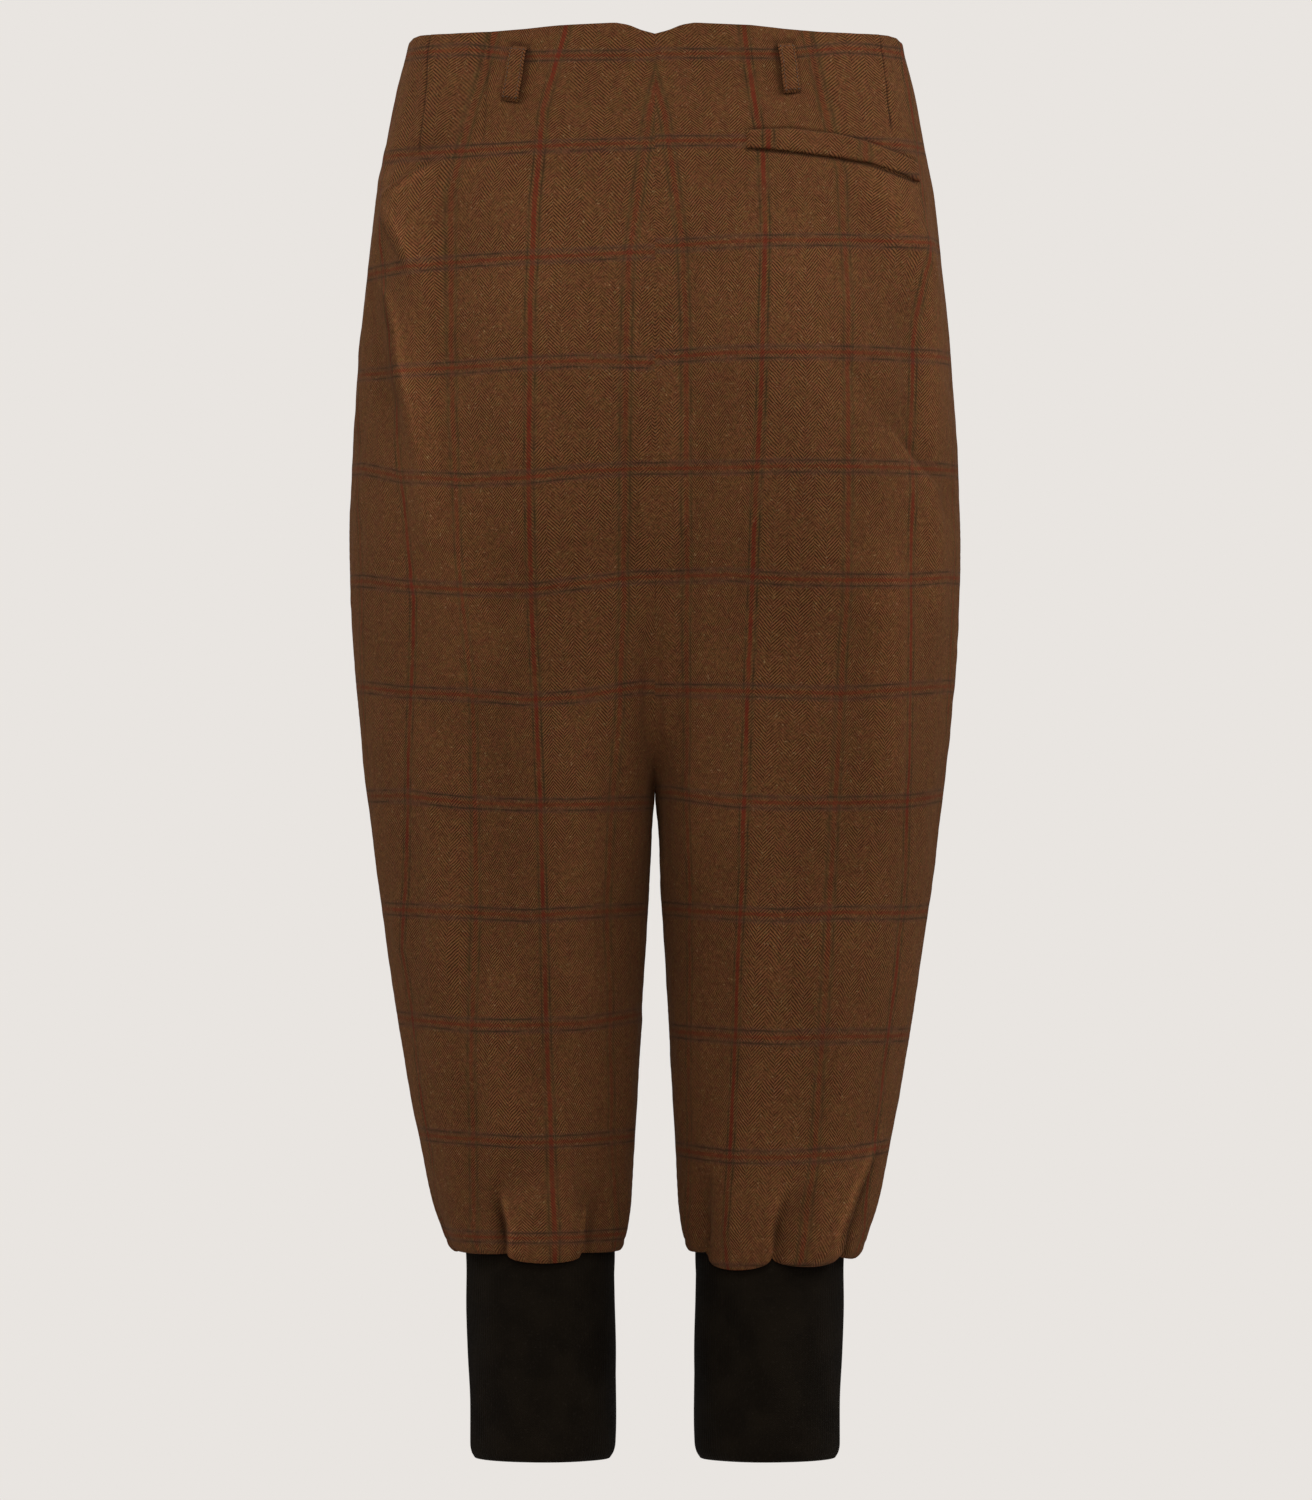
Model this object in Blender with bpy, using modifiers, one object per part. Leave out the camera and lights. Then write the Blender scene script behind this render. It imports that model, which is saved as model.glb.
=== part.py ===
"""Breeches of checked tweed with knitted cuffs, worn and hollow.

The garment faces -Y, its back is towards +Y, its wearer's left is +X and up is +Z. The origin is the centre
of the waist ring at the height of its sides. Every panel is a wall lofted through level sections: above the
crotch a half section ends at the centre seam, below it the section closes round the leg.
"""
import math

import bpy
import numpy as np
from mathutils import Vector

# Sizes, in metres
CLOTH = 0.0016            # thickness of the tweed wall
TRIM_CLOTH = 0.0015       # thickness of loops, welt and fly shield
KNIT = 0.0032             # thickness of the doubled knit
EDGE_GAP = 0.00026        # each panel's edge stops this far short of its seam line
LAY_GAP = 0.0003          # between a panel and what lies on it
CROTCH_Z = -0.330         # lowest point of the seat seam
SEAT_CURVE_Z = -0.262     # where the seat seam leaves the outside and curves in to the crotch
LEGS_PART_Z = -0.430      # where the inner sides of the legs stop touching
HEM_Z = -0.738            # where the leg starts to roll under
CUFF_TOP_Z = -0.7385      # top edge of the knit, hidden in the hem
CUFF_BOTTOM_Z = -0.8797
CUFF_EDGE_ROUND = 0.0012
COLUMNS = 16              # faces across each panel
SEAM_STRIP = 0.0014       # width of the face along each edge, which keeps the edge square to the cloth
CUFF_COLUMNS = 28
BUTTON_RADIUS = 0.0085
BUTTON_THICKNESS = 0.0032

# Level sections of the left half. Where inner is below zero the section is cut off flat at the centre
SECTIONS = (
    # z, outer, inner, back, front, side_y, square
    (0.000, 0.1538, -0.1538, 0.117, 0.117, 0.000, 2.10),
    (-0.038, 0.1615, -0.1615, 0.121, 0.121, 0.001, 2.10),
    (-0.076, 0.1686, -0.1680, 0.129, 0.124, 0.002, 2.12),
    (-0.100, 0.1730, -0.1690, 0.134, 0.126, 0.003, 2.14),
    (-0.138, 0.1773, -0.1620, 0.141, 0.127, 0.004, 2.18),
    (-0.187, 0.1823, -0.1430, 0.148, 0.127, 0.005, 2.20),
    (-0.237, 0.1860, -0.1120, 0.149, 0.125, 0.006, 2.20),
    (-0.299, 0.1891, -0.0640, 0.139, 0.121, 0.005, 2.18),
    (-0.336, 0.1891, -0.0350, 0.129, 0.118, 0.004, 2.15),
    (-0.386, 0.1866, -0.0100, 0.118, 0.113, 0.002, 2.12),
    (-0.435, 0.1823, 0.0006, 0.109, 0.109, 0.000, 2.10),
    (-0.472, 0.1783, 0.0014, 0.103, 0.106, -0.002, 2.08),
    (-0.534, 0.1705, 0.0037, 0.092, 0.101, -0.005, 2.06),
    (-0.596, 0.1618, 0.0074, 0.080, 0.096, -0.008, 2.05),
    (-0.658, 0.1516, 0.0105, 0.069, 0.089, -0.009, 2.03),
    (-0.696, 0.1445, 0.0124, 0.063, 0.082, -0.008, 2.00),
    (-0.720, 0.1383, 0.0149, 0.060, 0.077, -0.007, 2.00),
    (-0.738, 0.1318, 0.0180, 0.057, 0.071, -0.006, 2.00),
)
# Cuff sections: z, centre x, centre y, half width, half depth
CUFF_SECTIONS = (
    (CUFF_TOP_Z, 0.0716, -0.0045, 0.0464, 0.0520),
    (-0.760, 0.0711, -0.0040, 0.0462, 0.0519),
    (-0.800, 0.0704, -0.0028, 0.0458, 0.0516),
    (-0.840, 0.0695, -0.0012, 0.0453, 0.0511),
    (-0.871, 0.0694, 0.0000, 0.0452, 0.0508),
    (-0.8765, 0.0694, 0.0002, 0.0441, 0.0497),
    (CUFF_BOTTOM_Z, 0.0694, 0.0003, 0.0421, 0.0477),
)
# The hem rolls under on to the cuff: z, share of the way from the leg's section to the cuff's
HEM_ROLL = (
    (-0.7435, 0.16),
    (-0.7480, 0.34),
    (-0.7505, 0.63),
    (-0.7485, 0.92),
    (-0.7425, 1.00),
)
HEM_BOTTOM_Z = min(z for z, _ in HEM_ROLL)
# Edge of the waist: distance from the centre seam, height at the back, height at the front
WAIST_EDGE = (
    (0.000, -0.0058, -0.0030),
    (0.008, -0.0037, -0.0030),
    (0.016, -0.0004, -0.0030),
    (0.024, 0.0010, -0.0029),
    (0.058, -0.0001, -0.0026),
    (0.080, -0.0019, -0.0022),
    (0.100, -0.0028, -0.0018),
    (0.125, -0.0025, -0.0014),
    (0.147, -0.0014, -0.0012),
    (0.154, -0.0024, -0.0024),
)
WAIST_EDGE_REACH = 0.060  # how far down the cloth follows the shaped edge
# Level bands of faces: z at the lower end, faces in the band
BANDS = (
    (-0.010, 1), (-0.200, 6), (SEAT_CURVE_Z, 2), (-0.300, 2), (-0.320, 1), (CROTCH_Z, 1), (-0.350, 1), (-0.660, 11),
    (HEM_Z, 4),
)

# Largest folds. Panel, x and z at the upper end, x and z at the lower end, half width, height (valleys are negative)
FOLDS = (
    ("back_left", 0.165, -0.105, 0.136, -0.240, 0.016, 0.0050),
    ("back_left", 0.136, -0.240, 0.106, -0.390, 0.018, 0.0045),
    ("back_left", 0.176, -0.155, 0.154, -0.205, 0.010, -0.0030),
    ("back_left", 0.112, -0.150, 0.098, -0.330, 0.022, -0.0025),
    ("back_left", 0.098, -0.410, 0.086, -0.545, 0.018, -0.0035),
    ("back_left", 0.090, -0.590, 0.092, -0.670, 0.013, 0.0035),
    ("back_left", 0.070, -0.600, 0.074, -0.640, 0.012, -0.0030),
    ("back_left", 0.112, -0.660, 0.110, -0.730, 0.010, -0.0035),
    ("back_right", 0.156, -0.150, 0.157, -0.320, 0.009, -0.0050),
    ("back_right", 0.170, -0.150, 0.173, -0.350, 0.008, 0.0035),
    ("back_right", 0.132, -0.225, 0.176, -0.285, 0.011, -0.0030),
    ("back_right", 0.144, -0.345, 0.144, -0.450, 0.013, 0.0045),
    ("back_right", 0.118, -0.380, 0.112, -0.520, 0.016, -0.0030),
    ("back_right", 0.066, -0.560, 0.070, -0.690, 0.015, 0.0030),
    ("back_right", 0.140, -0.670, 0.116, -0.738, 0.008, 0.0050),
    ("back_right", 0.028, -0.680, 0.028, -0.715, 0.008, -0.0035),
    ("front_left", 0.060, -0.150, 0.030, -0.300, 0.016, 0.0035),
    ("front_left", 0.152, -0.180, 0.128, -0.360, 0.014, -0.0040),
    ("front_left", 0.100, -0.400, 0.094, -0.580, 0.018, 0.0040),
    ("front_left", 0.058, -0.600, 0.062, -0.720, 0.012, -0.0040),
    ("front_left", 0.108, -0.640, 0.102, -0.738, 0.011, -0.0040),
    ("front_right", 0.050, -0.170, 0.026, -0.310, 0.015, 0.0035),
    ("front_right", 0.146, -0.160, 0.134, -0.340, 0.015, -0.0040),
    ("front_right", 0.092, -0.390, 0.098, -0.560, 0.017, 0.0040),
    ("front_right", 0.064, -0.590, 0.058, -0.710, 0.012, -0.0040),
    ("front_right", 0.104, -0.650, 0.110, -0.738, 0.010, -0.0035),
)
FOLD_SEAM_FADE = 0.35     # sine of the angle from the side seam where a fold reaches its full height
FOLD_END_REACH = 2.0      # half widths over which a fold runs out past its ends
# Gathers at each hem, where each lobe starts in degrees round the leg from the side seam over the back, and how
# much lower its crown hangs than its edges
LOBES = {
    "left": (
        # start, drop
        (8.0, 0.0015), (69.0, 0.0065), (123.0, 0.0010), (199.0, 0.0055), (245.0, 0.0030), (290.0, 0.0070),
        (329.0, 0.0025),
    ),
    "right": (
        # start, drop
        (36.0, 0.0090), (91.0, 0.0110), (144.0, 0.0015), (200.0, 0.0060), (248.0, 0.0035), (298.0, 0.0065),
        (342.0, 0.0060),
    ),
}
LOBE_SWELL = 0.0046       # from the valley between two lobes to a lobe's crown
LOBE_SINK = 0.6           # share of that swell which goes inwards at the valleys
LOBE_ROUNDNESS = 0.8      # below 1 makes the crowns fuller and the valleys sharper
LOBE_DROP_ROUNDNESS = 0.5 # the same for the lower edge
LOBE_REACH = 0.085        # how far up the leg the lobes fade

# Belt loops: name, panel, x and z at the top, x and z at the bottom
LOOPS = (
    ("belt_loop_back_left", "back_left", 0.0820, -0.0114, 0.0878, -0.0463),
    ("belt_loop_back_right", "back_right", 0.0787, -0.0097, 0.0829, -0.0413),
    ("belt_loop_front_left", "front_left", 0.0840, -0.0110, 0.0850, -0.0460),
    ("belt_loop_front_right", "front_right", 0.0840, -0.0110, 0.0850, -0.0460),
)
LOOP_WIDTH = 0.0115
LOOP_RISE = 0.0058        # how far the middle of a loop stands off the panel
LOOP_SHOULDER = 0.28      # share of its length in which a loop rises from its end
LOOP_STEPS = 10
# Welt of the back pocket: distance from the centre seam, z of its upper and of its lower edge
WELT = (
    (0.0553, -0.0647, -0.0757),
    (0.0809, -0.0631, -0.0774),
    (0.1097, -0.0654, -0.0803),
    (0.1314, -0.0698, -0.0832),
    (0.1478, -0.0748, -0.0882),
    (0.1610, -0.0806, -0.0925),
)
SHIELD_HALF_WIDTH = 0.022
SHIELD_TOP_Z = -0.012
SHIELD_BOTTOM_Z = -0.190
SHIELD_TAPER = 0.45       # share of its width that the shield loses at its lower end
SHIELD_TAPER_START = 0.7  # share of its length where it begins to narrow
SHIELD_ROWS, SHIELD_COLUMNS = 12, 6
BUTTON_RIM = 0.0009
BUTTON_X = 0.0095
BUTTON_Z = -0.0170

TWEED_COLOUR = (0.095, 0.040, 0.018)
TWEED_ROUGHNESS = 0.92
KNIT_COLOUR = (0.008, 0.006, 0.004)
KNIT_ROUGHNESS = 0.95
HORN_COLOUR = (0.020, 0.010, 0.006)
HORN_ROUGHNESS = 0.35

SIDES = {"left": 1, "right": -1}


def smooth(t):
    t = min(max(t, 0.0), 1.0)
    return t * t * (3.0 - 2.0 * t)


def curve_value(z, rows, column):
    """Smooth value of a table's column at height z, the rows running downwards."""
    heights = [row[0] for row in rows]
    values = [row[column] for row in rows]
    if z >= heights[0]:
        return values[0]
    if z <= heights[-1]:
        return values[-1]
    last = len(rows) - 1
    i = max(k for k in range(last) if heights[k] >= z)
    slopes = []
    for k in (i, i + 1):
        before = max(k - 1, 0)
        after = min(k + 1, last)
        slopes.append((values[after] - values[before]) / (heights[after] - heights[before]))
    span = heights[i + 1] - heights[i]
    t = (z - heights[i]) / span
    rise = 3.0 * t * t - 2.0 * t * t * t
    lead = t * (1.0 - t) * (1.0 - t) * span * slopes[0]
    tail = -t * t * (1.0 - t) * span * slopes[1]
    return values[i] * (1.0 - rise) + values[i + 1] * rise + lead + tail


def leg_section(z):
    """Centre, half sizes and squareness of one half's level section."""
    outer, inner, back, front, side_y, square = (curve_value(z, SECTIONS, k) for k in range(1, 7))
    return {
        "x": (outer + inner) / 2,
        "y": side_y,
        "half_width": (outer - inner) / 2,
        "back": back - side_y,
        "front": front + side_y,
        "square": square,
    }


def cuff_section(z):
    x, y, half_width, half_depth = (curve_value(z, CUFF_SECTIONS, k) for k in range(1, 5))
    return {"x": x, "y": y, "half_width": half_width, "back": half_depth, "front": half_depth, "square": 2.0}


def between(first, second, share):
    return {key: first[key] * (1.0 - share) + second[key] * share for key in first}


def on_section(section, angle):
    """Point and outward direction at an angle from the side (0) over the back (90 degrees) to the inside."""
    c, s = math.cos(angle), math.sin(angle)
    power = 2.0 / section["square"]
    depth = section["back"] if s >= 0 else section["front"]
    x = section["x"] + section["half_width"] * math.copysign(abs(c) ** power, c)
    y = section["y"] + depth * math.copysign(abs(s) ** power, s)
    nx = math.copysign(abs(c) ** (2.0 - power), c) / section["half_width"]
    ny = math.copysign(abs(s) ** (2.0 - power), s) / depth
    length = math.hypot(nx, ny)
    return x, y, nx / length, ny / length


def angle_at(section, x, back):
    """Angle of the point at distance x from the centre seam, on the back or the front."""
    ratio = (x - section["x"]) / section["half_width"]
    ratio = min(max(ratio, -1.0), 1.0)
    c = math.copysign(abs(ratio) ** (section["square"] / 2.0), ratio)
    angle = math.acos(c)
    return angle if back else -angle


def fold_height(panel, x, z, angle):
    """How far the folds of a panel push its wall out at a point, fading to nothing at the side seam."""
    height = 0.0
    for name, x0, z0, x1, z1, half_width, rise in FOLDS:
        if name != panel:
            continue
        along = Vector((x1 - x0, z1 - z0))
        reach = along.length
        along.normalize()
        offset = Vector((x - x0, z - z0))
        t = offset.dot(along)
        across = abs(offset.x * along.y - offset.y * along.x)
        past = max(-t, t - reach, 0.0)
        fade = math.exp(-((past / (FOLD_END_REACH * half_width)) ** 2))
        height += rise * fade * math.exp(-((across / half_width) ** 2))
    return height * smooth(abs(math.sin(angle)) / FOLD_SEAM_FADE)


def lobe_at(half, angle):
    """How far through its lobe an angle is, as the sine of its arch, and the drop of that lobe."""
    lobes = LOBES[half]
    turn = math.degrees(angle) % 360.0
    if turn < lobes[0][0]:
        turn += 360.0
    ends = [start for start, _ in lobes[1:]] + [lobes[0][0] + 360.0]
    for (start, drop), end in zip(lobes, ends):
        if start <= turn <= end:
            return max(math.sin(math.pi * (turn - start) / (end - start)), 0.0), drop
    return 0.0, 0.0


def waist_shift(x, z, back):
    reach = max(0.0, 1.0 + z / WAIST_EDGE_REACH)
    distances = [row[0] for row in WAIST_EDGE]
    heights = [row[1 if back else 2] for row in WAIST_EDGE]
    return float(np.interp(x, distances, heights)) * reach * reach


def panel_point(panel, angle, z, out=0.0, roll=None):
    """Point of a panel's outer face, moved out, at an angle round its leg and a height."""
    half = panel.split("_")[1]
    side = SIDES[half]
    section = leg_section(z)
    fade = smooth(1.0 - (z - HEM_Z) / LOBE_REACH)
    arch, lobe_drop = lobe_at(half, angle)
    swell = LOBE_SWELL * (arch ** LOBE_ROUNDNESS * fade - LOBE_SINK) * fade
    drop = 0.0
    if roll is not None:
        roll_z, share = roll
        section = between(leg_section(HEM_Z), cuff_section(roll_z), share)
        swell *= 1.0 - share
        out += (EDGE_GAP + LAY_GAP) * share
        drop = lobe_drop * arch ** LOBE_DROP_ROUNDNESS * (HEM_Z - roll_z) / (HEM_Z - HEM_BOTTOM_Z)
        z = roll_z
    x, y, nx, ny = on_section(section, angle)
    push = out + swell
    if roll is None:
        push += fold_height(panel, x, z, angle) * abs(ny)
    shift = waist_shift(x, z, angle >= 0) - drop
    x = max(x + nx * push, EDGE_GAP)
    return Vector((side * x, y + ny * push, z + shift))


def inner_angle(section, z, back):
    """Angle where a panel ends: at the seat or front seam above the crotch, at the inseam below it."""
    if z <= CROTCH_Z:
        return math.pi
    cut = abs(angle_at(section, EDGE_GAP, back))
    if z >= SEAT_CURVE_Z:
        return cut
    t = (SEAT_CURVE_Z - z) / (SEAT_CURVE_Z - CROTCH_Z)
    return math.pi - (math.pi - cut) * math.sqrt(1.0 - t * t)


def panel_angles(z, back):
    """Angles from the inner edge to the side seam, spaced so that the columns run smoothly down past the crotch."""
    section = leg_section(z)
    sign = 1.0 if back else -1.0
    cut = abs(angle_at(section, EDGE_GAP, back))
    end = inner_angle(section, z, back)
    fine = np.linspace(0.0, math.pi, 480)
    points = [on_section(section, sign * a)[:2] for a in fine]
    points = [(max(x, EDGE_GAP), y) for x, y in points]
    steps = [math.dist(p, q) for p, q in zip(points, points[1:])]
    run = np.concatenate(([0.0], np.cumsum(steps)))
    cut_run, end_run = (float(np.interp(a, fine, run)) for a in (cut, end))
    if z <= CROTCH_Z:
        end_run -= EDGE_GAP
    even = cut_run + (run[-1] - cut_run) * smooth((SEAT_CURVE_Z - z) / (SEAT_CURVE_Z - LEGS_PART_Z))
    strip_share = SEAM_STRIP / end_run
    shares = [1.0, *np.linspace(1.0 - strip_share, strip_share, COLUMNS - 1), EDGE_GAP / end_run]
    wanted = [even * u + (end_run - even) * u ** 4 for u in shares]
    return [sign * float(np.interp(w, run, fine)) for w in wanted]


def band_heights():
    heights = [0.0]
    for bottom, faces in BANDS:
        heights += list(np.linspace(heights[-1], bottom, faces + 1)[1:])
    return [float(h) for h in heights]


def collection(name):
    made = bpy.data.collections.new(name)
    bpy.context.scene.collection.children.link(made)
    return made


def material(name, colour, roughness):
    made = bpy.data.materials.new(name)
    made.use_nodes = True
    shader = made.node_tree.nodes["Principled BSDF"]
    shader.inputs["Base Color"].default_value = (*colour, 1.0)
    shader.inputs["Roughness"].default_value = roughness
    shader.inputs["Metallic"].default_value = 0.0
    return made


def mesh_object(name, points, faces, look, group):
    mesh = bpy.data.meshes.new(name)
    mesh.from_pydata([tuple(p) for p in points], [], faces)
    mesh.validate()
    mesh.shade_smooth()
    made = bpy.data.objects.new(name, mesh)
    made.data.materials.append(look)
    group.objects.link(made)
    return made


def grid_faces(rows, columns, flip, closed=False):
    """Quads of a grid of points, row by row from the top, closed round when asked."""
    faces = []
    stride = columns if closed else columns + 1
    for i in range(rows):
        for j in range(columns):
            k = (j + 1) % stride if closed else j + 1
            face = (i * stride + j, i * stride + k, (i + 1) * stride + k, (i + 1) * stride + j)
            faces.append(face[::-1] if flip else face)
    return faces


def thicken(made, thickness, outward):
    wall = made.modifiers.new("wall", "SOLIDIFY")
    wall.thickness = thickness
    wall.offset = 1.0 if outward else -1.0
    wall.use_even_offset = False
    return wall


def make_panel(name, look, group):
    """A back or a front, from the waist to the turned-under hem."""
    back = name.startswith("back")
    side = SIDES[name.split("_")[1]]
    points = []
    heights = band_heights()
    for z in heights:
        angles = panel_angles(z, back)
        ordered = angles if back else angles[::-1]
        points += [panel_point(name, a, z) for a in ordered]
    for roll in HEM_ROLL:
        points += [panel_point(name, a, HEM_Z, roll=roll) for a in ordered]
    rows = len(heights) + len(HEM_ROLL) - 1
    made = mesh_object(name, points, grid_faces(rows, COLUMNS, side < 0), look, group)
    thicken(made, CLOTH, outward=False)
    return made


def make_cuff(name, look, group):
    side = SIDES[name.split("_")[1]]
    points = []
    for z, *_ in CUFF_SECTIONS:
        section = cuff_section(z)
        for j in range(CUFF_COLUMNS):
            x, y, _, _ = on_section(section, math.pi - math.tau * j / CUFF_COLUMNS)
            points.append(Vector((side * x, y, z)))
    faces = grid_faces(len(CUFF_SECTIONS) - 1, CUFF_COLUMNS, side < 0, closed=True)
    made = mesh_object(name, points, faces, look, group)
    thicken(made, KNIT, outward=False)
    bevel = made.modifiers.new("soft edge", "BEVEL")
    bevel.width = CUFF_EDGE_ROUND
    bevel.segments = 2
    bevel.limit_method = "ANGLE"
    bevel.angle_limit = math.radians(50)
    return made


def strip(name, panel, rows, columns, look, group, place, thickness, inside=False):
    """A strip laid on a panel: place gives distance from the centre seam, height and lift for a row and column."""
    side = SIDES[panel.split("_")[1]]
    back = panel.startswith("back")
    points = []
    for i in range(rows + 1):
        for j in range(columns + 1):
            x, z, lift = place(i / rows, j / columns)
            angle = angle_at(leg_section(z), x, back)
            points.append(panel_point(panel, angle, z, out=lift))
    flip = (side < 0) == back
    made = mesh_object(name, points, grid_faces(rows, columns, flip), look, group)
    thicken(made, thickness, outward=not inside)
    return made


def make_loop(name, panel, x0, z0, x1, z1, look, group):
    along = Vector((x1 - x0, z1 - z0)).normalized()

    def place(down, across):
        offset = (across - 0.5) * LOOP_WIDTH
        x = x0 + (x1 - x0) * down - along.y * offset
        z = z0 + (z1 - z0) * down + along.x * offset
        arch = smooth(min(down, 1.0 - down) / LOOP_SHOULDER)
        return x, z, LAY_GAP + LOOP_RISE * arch

    return strip(name, panel, LOOP_STEPS, 2, look, group, place, TRIM_CLOTH)


def make_welt(look, group):
    distances = [row[0] for row in WELT]

    def place(down, across):
        x = distances[0] + (distances[-1] - distances[0]) * across
        top = float(np.interp(x, distances, [row[1] for row in WELT]))
        bottom = float(np.interp(x, distances, [row[2] for row in WELT]))
        return x, top + (bottom - top) * down, LAY_GAP

    return strip("back_pocket_welt", "back_right", 2, COLUMNS, look, group, place, TRIM_CLOTH)


def make_fly_shield(look, group):
    """A guard across the front opening, on the inside of both fronts."""
    rows, columns = SHIELD_ROWS, SHIELD_COLUMNS
    points = []
    for i in range(rows + 1):
        z = SHIELD_TOP_Z + (SHIELD_BOTTOM_Z - SHIELD_TOP_Z) * i / rows
        narrow = 1.0 - SHIELD_TAPER * smooth((i / rows - SHIELD_TAPER_START) / (1.0 - SHIELD_TAPER_START))
        for j in range(columns + 1):
            x = SHIELD_HALF_WIDTH * narrow * (1.0 - 2.0 * j / columns)
            panel = "front_left" if x >= 0 else "front_right"
            angle = angle_at(leg_section(z), max(abs(x), EDGE_GAP), False)
            spot = panel_point(panel, angle, z, out=-(CLOTH + LAY_GAP * 2))
            points.append(Vector((math.copysign(spot.x, x) if abs(x) > EDGE_GAP else 0.0, spot.y, spot.z)))
    made = mesh_object("fly_shield", points, grid_faces(rows, columns, False), look, group)
    thicken(made, TRIM_CLOTH, outward=False)
    return made


def make_button(look, group):
    """Flat button on the left front, square to the cloth under it."""
    angle = angle_at(leg_section(BUTTON_Z), BUTTON_X, False)
    base = panel_point("front_left", angle, BUTTON_Z, out=LAY_GAP * 3)
    top = panel_point("front_left", angle, BUTTON_Z, out=LAY_GAP * 3 + BUTTON_THICKNESS)
    axis = (top - base).normalized()
    bpy.ops.mesh.primitive_cylinder_add(
        vertices=28, radius=BUTTON_RADIUS, depth=BUTTON_THICKNESS, location=(base + top) / 2,
        rotation=axis.to_track_quat("Z", "Y").to_euler())
    made = bpy.context.object
    made.name = "waist_button"
    for owner in list(made.users_collection):
        owner.objects.unlink(made)
    group.objects.link(made)
    made.data.materials.append(look)
    bevel = made.modifiers.new("rounded rim", "BEVEL")
    bevel.width = BUTTON_RIM
    bevel.segments = 2
    bevel.limit_method = "ANGLE"
    bevel.angle_limit = math.radians(50)
    made.data.shade_smooth()
    made.data.set_sharp_from_angle(angle=math.radians(40))
    return made


def main():
    for old in list(bpy.data.objects):
        bpy.data.objects.remove(old, do_unlink=True)
    group = collection("breeches")
    for name in ("back_left", "back_right", "front_left", "front_right"):
        make_panel(name, material(name + "_tweed", TWEED_COLOUR, TWEED_ROUGHNESS), group)
    for name in ("cuff_left", "cuff_right"):
        make_cuff(name, material(name + "_knit", KNIT_COLOUR, KNIT_ROUGHNESS), group)
    for name, panel, x0, z0, x1, z1 in LOOPS:
        make_loop(name, panel, x0, z0, x1, z1, material(name + "_tweed", TWEED_COLOUR, TWEED_ROUGHNESS), group)
    make_welt(material("back_pocket_welt_tweed", TWEED_COLOUR, TWEED_ROUGHNESS), group)
    make_fly_shield(material("fly_shield_tweed", TWEED_COLOUR, TWEED_ROUGHNESS), group)
    make_button(material("waist_button_horn", HORN_COLOUR, HORN_ROUGHNESS), group)


main()
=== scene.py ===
import math

import bmesh
import bpy
import numpy as np
from mathutils import Matrix, Vector
from mathutils.bvhtree import BVHTree


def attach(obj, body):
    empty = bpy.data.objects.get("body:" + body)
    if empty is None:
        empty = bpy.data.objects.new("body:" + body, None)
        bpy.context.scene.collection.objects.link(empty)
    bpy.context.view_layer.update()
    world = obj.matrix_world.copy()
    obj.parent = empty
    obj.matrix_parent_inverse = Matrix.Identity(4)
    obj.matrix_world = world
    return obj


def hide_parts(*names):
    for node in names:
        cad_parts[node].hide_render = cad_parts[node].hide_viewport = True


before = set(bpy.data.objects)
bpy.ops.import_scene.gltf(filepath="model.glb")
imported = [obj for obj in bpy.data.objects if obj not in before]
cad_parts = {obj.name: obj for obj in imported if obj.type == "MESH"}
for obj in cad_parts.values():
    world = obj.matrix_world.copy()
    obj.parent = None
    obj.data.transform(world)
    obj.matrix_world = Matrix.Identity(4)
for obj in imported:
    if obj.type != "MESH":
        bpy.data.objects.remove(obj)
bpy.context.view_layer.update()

# Worn tweed breeches with knitted cuffs. Sizes are in metres, the wearer's left is +X and the back faces +Y
print("frame loaded,", len(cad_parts), "solids")

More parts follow.
